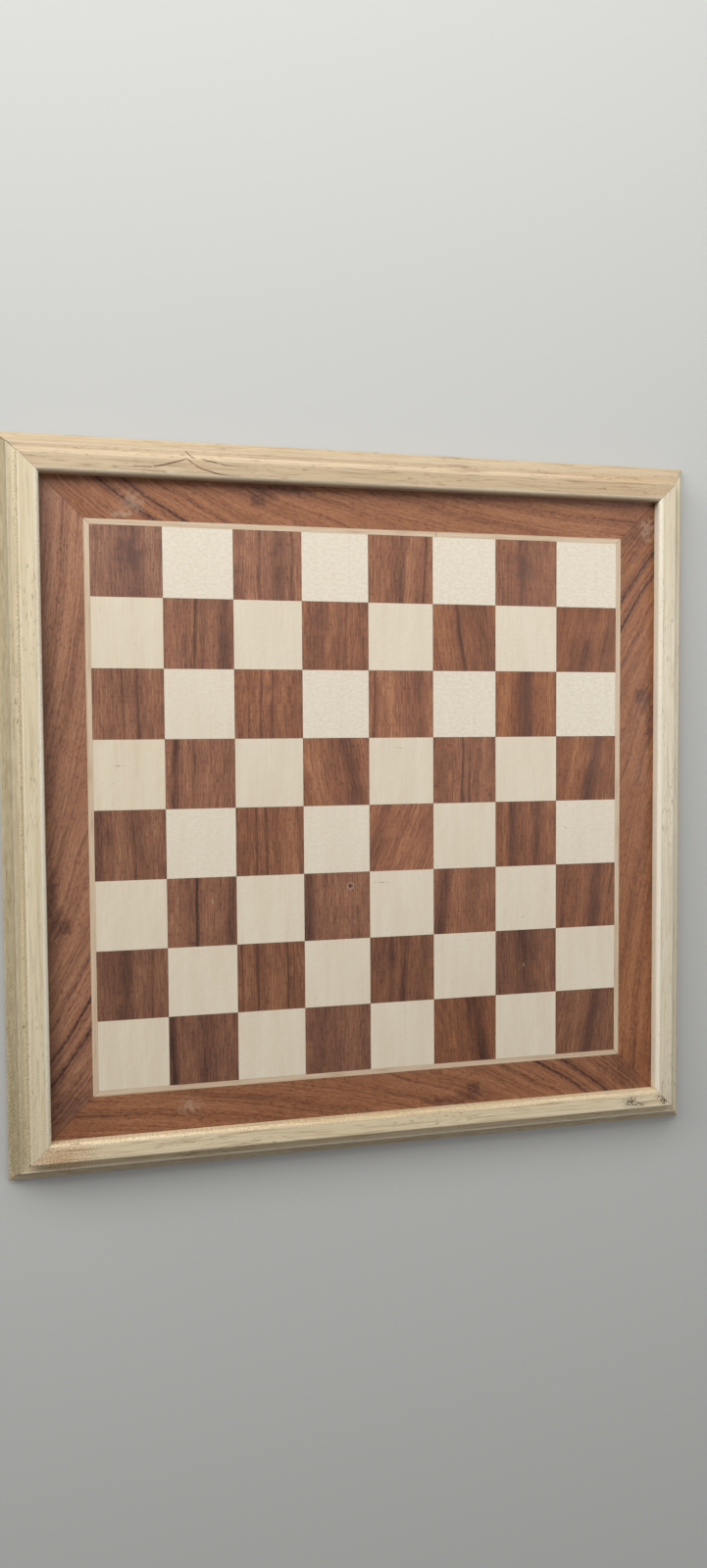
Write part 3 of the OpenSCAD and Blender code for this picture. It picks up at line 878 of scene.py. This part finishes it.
# The middle ring of vertices rises to just under the top, and the top ring draws in by the same hair
half = add(tree, "ShaderNodeMath", {0: start.outputs["Thickness"], 1: 0.5}, operation="MULTIPLY")
middle = add(tree, "FunctionNodeCompare", {
    "A": up, "B": 0.0, "Epsilon": 1e-5}, data_type="FLOAT", operation="EQUAL")
rise = add(tree, "ShaderNodeMath", {0: half, 1: start.outputs["Arris"]}, operation="SUBTRACT")
lifted = add(tree, "GeometryNodeSetPosition", {
    "Geometry": block, "Selection": middle, "Offset": add(tree, "ShaderNodeCombineXYZ", {"Z": rise})})
narrower = add(tree, "ShaderNodeMath", {
    0: start.outputs["Arris"], 1: -2.0, 2: start.outputs["Side"]}, operation="MULTIPLY_ADD")
draw_in = add(tree, "ShaderNodeMath", {0: narrower, 1: start.outputs["Side"]}, operation="DIVIDE")
drawn = add(tree, "ShaderNodeVectorMath", {
    0: here, 1: add(tree, "ShaderNodeCombineXYZ", {"X": draw_in, "Y": draw_in, "Z": 1.0})},
    operation="MULTIPLY")
nearly_up = add(tree, "ShaderNodeMath", {0: half, 1: 0.999}, operation="MULTIPLY")
is_top = add(tree, "ShaderNodeMath", {0: up, 1: nearly_up}, operation="GREATER_THAN")
tile = add(tree, "GeometryNodeSetPosition", {"Geometry": lifted, "Selection": is_top, "Position": drawn})
tile = add(tree, "GeometryNodeStoreNamedAttribute", {
    "Geometry": tile, "Name": "local", "Value": here}, data_type="FLOAT_VECTOR", domain="POINT")
print("tile with", len(tree.nodes), "nodes")

# %% A tree that lays squares: one tile on each point, and its place on the leaf
laid = add(tree, "GeometryNodeInstanceOnPoints", {"Points": start.outputs["Geometry"], "Instance": tile})
real = add(tree, "GeometryNodeRealizeInstances", {"Geometry": laid})
local = add(tree, "ShaderNodeSeparateXYZ", {
    "Vector": add(tree, "GeometryNodeInputNamedAttribute", {"Name": "local"}, data_type="FLOAT_VECTOR")})
cut = add(tree, "ShaderNodeSeparateXYZ", {
    "Vector": add(tree, "GeometryNodeInputNamedAttribute", {"Name": "cut"}, data_type="FLOAT_VECTOR")})
lean = add(tree, "ShaderNodeMath", {0: cut.outputs["X"], 1: local.outputs["Y"]}, operation="MULTIPLY")
across = add(tree, "ShaderNodeMath", {0: local.outputs["X"], 1: lean}, operation="SUBTRACT")
leaf = add(tree, "ShaderNodeCombineXYZ", {"X": across, "Y": local.outputs["Y"], "Z": cut.outputs["Y"]})
real = add(tree, "GeometryNodeStoreNamedAttribute", {
    "Geometry": real, "Name": "leaf", "Value": leaf}, data_type="FLOAT_VECTOR", domain="POINT")
painted = add(tree, "GeometryNodeSetMaterial", {"Geometry": real, "Material": start.outputs["Material"]})
tree.links.new(painted.outputs[0], end.inputs[0])
print("squares tree with", len(tree.nodes), "nodes")

# %% What a square's point carries
FILES, COLUMNS = "abcdefgh", 8

# A streak fades out at its edges, so it is drawn a little wider than listed. WARMTH is for every leaf
STREAK_WIDTH, WARMTH = 1.15, 1.03

# Three rows were laid with white leaves, and a few squares are creamier than the rest of their row
WHITE_ROWS = {0: 0.75, 2: 0.70, 4: 0.50}
CREAM_LEAVES = {
    (1, 0): 0.10, (2, 1): 0.45, (3, 0): 0.0, (3, 2): 0.15, (4, 5): 0.20, (5, 0): 0.10, (7, 0): 0.0}


def cut_from(row, column, lean):
    """How a square was cut: the lean of its grain and the number of its leaf. The third number is spare."""
    return lean, 1.0 + row * COLUMNS + column, 0.0


def dark_square(row, column):
    """A dark square's cut, its lightness and warmth, and four streaks, the missing ones at strength 0."""
    lean, lightness, warmth, own = CUTTING_LIST[FILES[row]][column // 2]
    square = {"cut": cut_from(row, column, lean), "tone": (lightness, WARMTH * warmth, 0.0)}
    for number, (share, half_mm, strength) in enumerate(own + (STREAKS - len(own)) * [(0.5, 1, 0)]):
        square[f"streak_{number}"] = ((share - 0.5) * side, STREAK_WIDTH * half_mm * MM, strength)
    return square


def light_square(row, column):
    """A light square's cut, and its tone, whose last number is how white the leaf is."""
    # In the other rows the leaves differ by a little, in steps that form no pattern
    whiter = WHITE_ROWS.get(row, 0.35 - 0.03 * ((row * 5 + column * 3) % 7))
    whiter = CREAM_LEAVES.get((row, column), whiter)
    return {"cut": cut_from(row, column, 0.03 * ((row + column) % 3 - 1)), "tone": (1.0, 1.0, whiter)}


print("square a1 carries", ", ".join(dark_square(0, 0)))

# %% Lay the squares, one file and one colour at a time
ARRIS = 0.06 * MM
for row, letter in enumerate(FILES):
    for shade_name, wood, describe, first in (
            ("dark", walnut, dark_square, row % 2), ("light", maple, light_square, 1 - row % 2)):
        columns = range(first, COLUMNS, 2)
        places = [
            ((column + 0.5) * side - field_half, field_half - (row + 0.5) * side, play_z - veneer / 2)
            for column in columns]
        squares = [describe(row, column) for column in columns]
        carried = {label: [square[label] for square in squares] for label in squares[0]}
        name = f"{shade_name}_veneers_file_{letter}"
        points = cloud_of_points(name + "_points", places, **carried)
        piece = grow(name, squares_tree, points, {
            "Side": side, "Thickness": veneer, "Arris": ARRIS, "Material": wood})
        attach(piece, "root")
        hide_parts(f"file_{letter}_{shade_name}_squares")
print("last piece:", piece.name, "with", len(piece.data.polygons), "faces")

# %% [markdown]
# ## The frame's rails
# A moulding is one section drawn along a line, so the rails are the main piece here that follows a
# rule. The section is a closed outline with named corner sizes: rounded inner edge, flat, cove, bead,
# hollow skirt and foot, with the rebate for the panel behind the lip. A tree draws it along a rail
# and shears the two ends to the mitre. It breaks the mitre's edge by a hair, presses in a few small
# dents and cuts the slots of the V nails with the nails themselves.

# %% An outline with rounded corners
def outline(corners):
    """A closed outline through corners (across, up, radius), in mm, with the radii as arcs."""
    points = []
    for index, (x, y, radius) in enumerate(corners):
        if radius == 0:
            points.append((x, y))
            continue
        before, after = corners[index - 1], corners[(index + 1) % len(corners)]
        to_before = math.atan2(before[1] - y, before[0] - x)
        to_after = math.atan2(after[1] - y, after[0] - x)
        opening = (to_after - to_before + math.pi) % (2 * math.pi) - math.pi
        reach = radius / math.tan(abs(opening) / 2)
        middle = to_before + opening / 2
        to_centre = radius / math.sin(abs(opening) / 2)
        centre = (x + to_centre * math.cos(middle), y + to_centre * math.sin(middle))
        a = (x + reach * math.cos(to_before), y + reach * math.sin(to_before))
        b = (x + reach * math.cos(to_after), y + reach * math.sin(to_after))
        angle_a = math.atan2(a[1] - centre[1], a[0] - centre[0])
        angle_b = math.atan2(b[1] - centre[1], b[0] - centre[0])
        sweep = (angle_b - angle_a + math.pi) % (2 * math.pi) - math.pi
        steps = max(3, round(abs(sweep) * (3 if radius < 1 else 6)))
        points += [(centre[0] + radius * math.cos(angle_a + sweep * i / steps),
                    centre[1] + radius * math.sin(angle_a + sweep * i / steps)) for i in range(steps + 1)]
    return points


def hold(points, margin=0.35):
    """Adds a point near each end of a long flat, so that smooth shading stays level on it."""
    held = []
    for a, b in zip(points, points[1:] + points[:1]):
        length = math.dist(a, b)
        held.append(a)
        if length > 3 * margin:
            held += [tuple(p + (q - p) * share for p, q in zip(a, b))
                     for share in (margin / length, 1 - margin / length)]
    return held


print("a square with round corners has", len(outline([(0, 0, 1), (0, 9, 1), (9, 9, 1), (9, 0, 1)])), "points")

# %% The moulding's section
# Places across the rail from its inner wall, and radii, in mm and as in the CAD model
REBATE, FLAT_END, BEAD_END = 5, 10.4, 16.4
INNER_ROUND, FLAT_EASE, COVE, BEAD_EASE = 2.2, 0.8, 3.1, 0.6
HOLLOW, HOLLOW_STEPS = 1.2, 12

base, play, top = frame_z / MM, play_z / MM, top_z / MM
width = (frame_half - wall_half) / MM
bead_top, bead_foot, skirt_foot = play + 1.0, play - 0.2, base + 1.3

# The skirt is hollow by a shallow parabola, square to the straight line from the bead to the foot
lean = math.atan2(width - BEAD_END, bead_foot - skirt_foot)
skirt = []
for step in range(1, HOLLOW_STEPS):
    share = step / HOLLOW_STEPS
    depth = HOLLOW * 4 * share * (1 - share)
    skirt.append((BEAD_END + (width - BEAD_END) * share - depth * math.cos(lean),
                  bead_foot + (skirt_foot - bead_foot) * share - depth * math.sin(lean), 0))
section = hold(outline([
    (REBATE, base, 0.3), (REBATE, play, 0), (0, play, 0.2), (0, top, INNER_ROUND), (FLAT_END, top, FLAT_EASE),
    (FLAT_END, bead_top, COVE), (BEAD_END, bead_top, BEAD_EASE), (BEAD_END, bead_foot, 0.15), *skirt,
    (width, skirt_foot, 0.3), (width, base, 0.4)]))
print("section of", len(section), "points,", round(max(p[0] for p in section), 2), "mm wide")

# %% The section as a mesh that knows which way is inwards
area = sum(a[0] * b[1] - b[0] * a[1] for a, b in zip(section, section[1:] + section[:1])) / 2
turn_in = 1 if area > 0 else -1
inward = []
for before, after in zip(section[-1:] + section[:-1], section[1:] + section[:1]):
    tangent = math.atan2(after[1] - before[1], after[0] - before[0]) + turn_in * math.pi / 2
    inward.append((math.cos(tangent), math.sin(tangent), 0))
corners = [(x * MM, y * MM, 0) for x, y in section]
section_mesh = bpy.data.meshes.new("moulding_section")
section_mesh.from_pydata(corners, [(i, (i + 1) % len(corners)) for i in range(len(corners))], [])
write_vectors(section_mesh, "section", corners)
write_vectors(section_mesh, "inward", inward)
section_object = bpy.data.objects.new("moulding_section", section_mesh)
scene.collection.objects.link(section_object)
print("section area", round(abs(area), 1), "square mm")

# %% A tree that draws a mitred moulding: the bar and its stations
moulding_tree, start, end = new_tree("mitred_moulding", {
    "Section": "Object", "Nails": "Object", "Half opening": "Float", "Turn": "Float", "Stations": "Int",
    "Arris": "Float", "Open at the left": "Float", "Open at the right": "Float", "Dents": "Float",
    "Material": "Material"})
tree = moulding_tree
drawing = add(tree, "GeometryNodeObjectInfo", {"Object": start.outputs["Section"]}).outputs["Geometry"]
section_line = add(tree, "GeometryNodeMeshToCurve", {"Mesh": drawing})
rod = add(tree, "GeometryNodeCurvePrimitiveLine", {"End": (0, 0, 1)})
rod = add(tree, "GeometryNodeResampleCurve", {"Curve": rod, "Count": start.outputs["Stations"]}, mode="COUNT")

# Stations run from -1 to 1, with one just short of each end where the mitre's edge is broken
last = add(tree, "ShaderNodeMath", {0: start.outputs["Stations"], 1: 2.0}, operation="SUBTRACT")
spread = add(tree, "ShaderNodeMapRange", {
    "Value": add(tree, "GeometryNodeInputIndex"), "From Min": 1.0, "From Max": last,
    "To Min": -0.9993, "To Max": 0.9993}, clamp=False)
station = add(tree, "ShaderNodeClamp", {"Value": spread, "Min": -1.0, "Max": 1.0})
rod = add(tree, "GeometryNodeStoreNamedAttribute", {
    "Geometry": rod, "Name": "station", "Value": station}, data_type="FLOAT", domain="POINT")
bar = add(tree, "GeometryNodeCurveToMesh", {"Curve": rod, "Profile Curve": section_line, "Fill Caps": True})
print("bar with", len(tree.nodes), "nodes")

# %% A tree that draws a mitred moulding: every point in its place
station = add(tree, "GeometryNodeInputNamedAttribute", {"Name": "station"}, data_type="FLOAT").outputs[0]
point, inwards = (
    add(tree, "GeometryNodeInputNamedAttribute", {"Name": label}, data_type="FLOAT_VECTOR").outputs[0]
    for label in ("section", "inward"))
far = add(tree, "ShaderNodeMath", {0: station}, operation="ABSOLUTE")
at_end = add(tree, "ShaderNodeMath", {0: far, 1: 0.9999}, operation="GREATER_THAN")
ease = add(tree, "ShaderNodeMath", {0: at_end, 1: start.outputs["Arris"]}, operation="MULTIPLY")
eased = add(tree, "ShaderNodeVectorMath", {0: inwards, "Scale": ease}, operation="SCALE")
eased = add(tree, "ShaderNodeVectorMath", {0: point, 1: eased}, operation="ADD")
eased = add(tree, "ShaderNodeSeparateXYZ", {"Vector": eased})
radius = add(tree, "ShaderNodeMath", {
    0: eased.outputs["X"], 1: start.outputs["Half opening"]}, operation="ADD")

# An old mitre opens from outside, so the gap grows from the cove to the foot
gap = add(tree, "ShaderNodeMapRange", {
    "Value": station, "From Min": -1.0, "From Max": 1.0,
    "To Min": start.outputs["Open at the right"], "To Max": start.outputs["Open at the left"]})
outer = add(tree, "ShaderNodeMapRange", {
    "Value": eased.outputs["X"], "From Min": 10 * MM, "From Max": 23 * MM})
gap = add(tree, "ShaderNodeMath", {0: gap, 1: outer}, operation="MULTIPLY")
reach = add(tree, "ShaderNodeMath", {0: radius, 1: gap}, operation="SUBTRACT")
along = add(tree, "ShaderNodeMath", {0: station, 1: reach}, operation="MULTIPLY")
spot = add(tree, "ShaderNodeCombineXYZ", {"X": radius, "Y": along, "Z": eased.outputs["Y"]})
spot = add(tree, "ShaderNodeVectorRotate", {
    "Vector": spot, "Angle": start.outputs["Turn"]}, rotation_type="Z_AXIS")
rail = add(tree, "GeometryNodeSetPosition", {"Geometry": bar, "Position": spot})
print("mitred bar with", len(tree.nodes), "nodes")

# %% A tree that draws a mitred moulding: dents, nail slots and shading
# The dents are pressed in and never out
cloud = add(tree, "ShaderNodeTexNoise", {
    "Vector": add(tree, "GeometryNodeInputPosition"), "Scale": 1 / (9 * MM), "Detail": 2.0})
deepest = add(tree, "ShaderNodeMath", {0: start.outputs["Dents"], 1: -1.0}, operation="MULTIPLY")
press = add(tree, "ShaderNodeMapRange", {
    "Value": cloud, "From Min": 0.58, "From Max": 0.78, "To Max": deepest}, interpolation_type="SMOOTHSTEP")
press = add(tree, "ShaderNodeVectorMath", {
    0: add(tree, "GeometryNodeInputNormal"), "Scale": press}, operation="SCALE")
rail = add(tree, "GeometryNodeSetPosition", {"Geometry": rail, "Offset": press})

# The slots are cut with the nails themselves, whose loose triangles are welded first
nails = add(tree, "GeometryNodeObjectInfo", {"Object": start.outputs["Nails"]}).outputs["Geometry"]
nails = add(tree, "GeometryNodeMergeByDistance", {"Geometry": nails, "Distance": 1e-6})
rail = add(tree, "GeometryNodeMeshBoolean", {
    "Mesh 1": rail, "Mesh 2": nails}, operation="DIFFERENCE", solver="EXACT")
rail = add(tree, "GeometryNodeSetShadeSmooth", {"Geometry": rail, "Shade Smooth": True}, domain="FACE")
bend = add(tree, "GeometryNodeInputMeshEdgeAngle").outputs["Unsigned Angle"]
sharp = add(tree, "ShaderNodeMath", {0: bend, 1: math.radians(38)}, operation="GREATER_THAN")
rail = add(tree, "GeometryNodeSetShadeSmooth", {
    "Geometry": rail, "Selection": sharp, "Shade Smooth": False}, domain="EDGE")
rail = add(tree, "GeometryNodeRealizeInstances", {"Geometry": rail})
rail = add(tree, "GeometryNodeSetMaterial", {"Geometry": rail, "Material": start.outputs["Material"]})
tree.links.new(rail.outputs[0], end.inputs[0])
print("moulding tree with", len(tree.nodes), "nodes")

# %% Draw the four rails
STATIONS, MITRE_ARRIS, DENTS = 121, 0.12 * MM, 0.12 * MM

# Only the mitre at the back on the left has opened, and its two rails are this much short at the foot
OPEN_MITRE = 0.45 * MM
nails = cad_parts["mitre_v_nails"]
for name, turn in SIDES.items():
    piece = grow(f"moulded_rail_{name}", moulding_tree, bpy.data.meshes.new("nothing"), {
        "Section": section_object, "Nails": nails, "Half opening": wall_half, "Turn": math.radians(turn),
        "Stations": STATIONS, "Arris": MITRE_ARRIS, "Dents": DENTS, "Material": ramin[name],
        "Open at the left": OPEN_MITRE if name == "back" else 0.0,
        "Open at the right": OPEN_MITRE if name == "left" else 0.0})
    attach(piece, "root")
    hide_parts(f"frame_rail_{name}")
    volume = sum(p.center.dot(p.normal) * p.area for p in piece.data.polygons) / 3
    print(piece.name, len(piece.data.polygons), "faces, volume", round(volume / MM ** 3), "cubic mm")
bpy.data.objects.remove(section_object)

# %% [markdown]
# ## Inside and underneath: core, balancing veneer and V nails
# The core is fibreboard, tan and matt, with tufts of pressed fibre. Veneer on one face alone would
# bend it, so a plain sheet balances it from below: sanded, never lacquered. The V nails are punched
# from bright steel strip, rolled lengthwise, so their finish is a fine streak. These three keep the
# CAD node's shape and only need their own material.

# %% Fibreboard of the core
def dress(node, material):
    """Gives a CAD node its material."""
    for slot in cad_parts[node].material_slots:
        slot.material = material
    print(node, "is", material.name)


fibreboard, tree, shader = new_finish("fibreboard_raw_sawn", IOR=1.45)
place = add(tree, "ShaderNodeTexCoord").outputs["Object"]
tufts = figure_layer(tree, place, (1.4, 1.4, 0.5), 0.3, 0.7, 4.0)
layers = figure_layer(tree, place, (40, 40, 1.2), 0.3, 0.7, 2.0, 0.5)
colour = add(tree, "ShaderNodeValToRGB", {"Fac": total(tree, tufts, layers)}, {
    0.0: "#B8936A", 0.6: "#A27E57", 1.0: "#866544"})
lay_finish(tree, shader, colour.outputs[0], (tufts, 0.8, 0.95), (tufts, 0.6, 0.08), sunk=False)
dress("core_panel", fibreboard)

# %% Balancing veneer
backing, tree, shader = new_finish("okoume_veneer_sanded", IOR=1.45)
place = add(tree, "ShaderNodeTexCoord").outputs["Object"]
sway = figure_layer(tree, place, (30, 160), 0.2, 0.8, 1.0, 8 * MM)
grain = add(tree, "ShaderNodeVectorMath", {
    0: place, 1: add(tree, "ShaderNodeCombineXYZ", {"X": sway})}, operation="ADD")
bands = figure_layer(tree, grain, (9, 300), 0.3, 0.7, 3.0, 0.5)
ribbons = figure_layer(tree, grain, (2.2, 90), 0.35, 0.7, 2.0, 0.35)
pores = figure_layer(tree, grain, (0.6, 5), 0.56, 0.70, 0.0, 0.45)
colour = add(tree, "ShaderNodeValToRGB", {"Fac": total(tree, bands, ribbons, pores)}, {
    0.0: "#D2A583", 0.5: "#BE8C69", 1.0: "#94654A"})
lay_finish(tree, shader, colour.outputs[0], (bands, 0.62, 0.75), (pores, 0.6, 0.05), gloss_top=0.5)
dress("backing_veneer", backing)

# %% Steel of the V nails
steel, tree, shader = new_finish("bright_steel_strip_rolled", Metallic=1.0)
place = add(tree, "ShaderNodeTexCoord").outputs["Object"]
rolled = figure_layer(tree, place, (6, 6, 0.25), 0.3, 0.7, 2.0)
smoke = figure_layer(tree, place, (1.5, 1.5, 1.5), 0.35, 0.65, 3.0)
colour = tint(tree, linear("#B9BABC"), smoke, "#8F8C88")
lay_finish(tree, shader, colour, (rolled, 0.28, 0.48), (rolled, 0.4, 0.01), sunk=False)
dress("mitre_v_nails", steel)

# %% [markdown]
# ## Felt feet
# Four discs punched from green pressed wool felt keep the frame off the table. A punched disc has no
# corner: its edge is pulled soft, and its face is a tangle of short wool that never lies quite flat.
# A tree sets one disc on each place, draws its rim in and sinks its surface with noise. The material
# adds the tangle itself and the pale bloom that loose fibres give against the light.

# %% Pressed wool felt
felt, tree, shader = new_finish(
    "wool_felt_pressed", Roughness=0.95, IOR=1.45, Sheen_Weight=0.45, Sheen_Roughness=0.5,
    Sheen_Tint=linear("#A9C2A4"))
place = add(tree, "ShaderNodeTexCoord").outputs["Object"]
bend = add(tree, "ShaderNodeTexNoise", {"Vector": place, "Scale": 1 / (2.5 * MM), "Detail": 2.0})
bend = add(tree, "ShaderNodeVectorMath", {0: bend.outputs["Color"], "Scale": 3 * MM}, operation="SCALE")
tangled = add(tree, "ShaderNodeVectorMath", {0: place, 1: bend}, operation="ADD")

# Wool is 0.03 mm thick; its tufts are drawn at 0.25 mm so that they show
hairs = total(
    tree, figure_layer(tree, tangled, (0.25, 1.6, 0.4), 0.4, 0.65, 2.0, 0.5),
    figure_layer(tree, tangled, (1.6, 0.25, 0.4), 0.4, 0.65, 2.0, 0.5))
colour = add(tree, "ShaderNodeValToRGB", {"Fac": hairs}, {0.0: "#1F3A2A", 0.5: "#2F5240", 1.0: "#4B7058"})
lay_finish(tree, shader, colour.outputs[0], None, (hairs, 0.9, 0.15), sunk=False)
print(felt.name, "with", len(tree.nodes), "nodes")

# %% A tree that sets felt feet
felt_tree, start, end = new_tree("felt_feet", {
    "Radius": "Float", "Thickness": "Float", "Soft rim": "Float", "Nap": "Float", "Material": "Material"})
tree = felt_tree
disc = add(tree, "GeometryNodeMeshCylinder", {
    "Vertices": 72, "Side Segments": 5, "Fill Segments": 14, "Radius": start.outputs["Radius"],
    "Depth": start.outputs["Thickness"]}, fill_type="TRIANGLE_FAN").outputs["Mesh"]
here = add(tree, "GeometryNodeInputPosition")
flat_place = add(tree, "ShaderNodeVectorMath", {0: here, 1: (1, 1, 0)}, operation="MULTIPLY")
out = add(tree, "ShaderNodeVectorMath", {0: flat_place}, operation="LENGTH").outputs["Value"]

# The rim is pressed down to two thirds of the disc's thickness
rim_start = add(tree, "ShaderNodeMath", {
    0: start.outputs["Radius"], 1: start.outputs["Soft rim"]}, operation="SUBTRACT")
rim = add(tree, "ShaderNodeMapRange", {
    "Value": out, "From Min": rim_start, "From Max": start.outputs["Radius"]},
    interpolation_type="SMOOTHSTEP")
thinner = add(tree, "ShaderNodeMath", {0: rim, 1: -0.34, 2: 1.0}, operation="MULTIPLY_ADD")
softened = add(tree, "ShaderNodeVectorMath", {
    0: here, 1: add(tree, "ShaderNodeCombineXYZ", {"X": 1.0, "Y": 1.0, "Z": thinner})}, operation="MULTIPLY")
disc = add(tree, "GeometryNodeSetPosition", {"Geometry": disc, "Position": softened})
feet = add(tree, "GeometryNodeInstanceOnPoints", {"Points": start.outputs["Geometry"], "Instance": disc})
feet = add(tree, "GeometryNodeRealizeInstances", {"Geometry": feet})

# The nap sinks the surface and never raises it
cloud = add(tree, "ShaderNodeTexNoise", {
    "Vector": add(tree, "GeometryNodeInputPosition"), "Scale": 1 / (1.1 * MM), "Detail": 3.0})
sink = add(tree, "ShaderNodeMath", {0: cloud, 1: start.outputs["Nap"]}, operation="MULTIPLY")
sink = add(tree, "ShaderNodeMath", {0: sink, 1: -1.0}, operation="MULTIPLY")
sink = add(tree, "ShaderNodeVectorMath", {
    0: add(tree, "GeometryNodeInputNormal"), "Scale": sink}, operation="SCALE")
feet = add(tree, "GeometryNodeSetPosition", {"Geometry": feet, "Offset": sink})
feet = add(tree, "GeometryNodeSetShadeSmooth", {"Geometry": feet, "Shade Smooth": True}, domain="FACE")
feet = add(tree, "GeometryNodeSetMaterial", {"Geometry": feet, "Material": start.outputs["Material"]})
tree.links.new(feet.outputs[0], end.inputs[0])
print("felt tree with", len(tree.nodes), "nodes")

# %% Set the four feet
FOOT_RADIUS, SOFT_RIM, NAP = 6 * MM, 0.9 * MM, 0.12 * MM
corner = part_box("felt_pads")[1]
foot_x, foot_y = corner.x - FOOT_RADIUS, corner.y - FOOT_RADIUS
places = [(x, y, frame_z / 2) for x in (-foot_x, foot_x) for y in (-foot_y, foot_y)]
feet = grow("felt_feet", felt_tree, cloud_of_points("felt_feet_points", places), {
    "Radius": FOOT_RADIUS, "Thickness": frame_z, "Soft rim": SOFT_RIM, "Nap": NAP, "Material": felt})
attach(feet, "root")
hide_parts("felt_pads")
print("feet at", [round(foot_x / MM, 1), round(foot_y / MM, 1)], "mm,", len(feet.data.polygons), "faces")
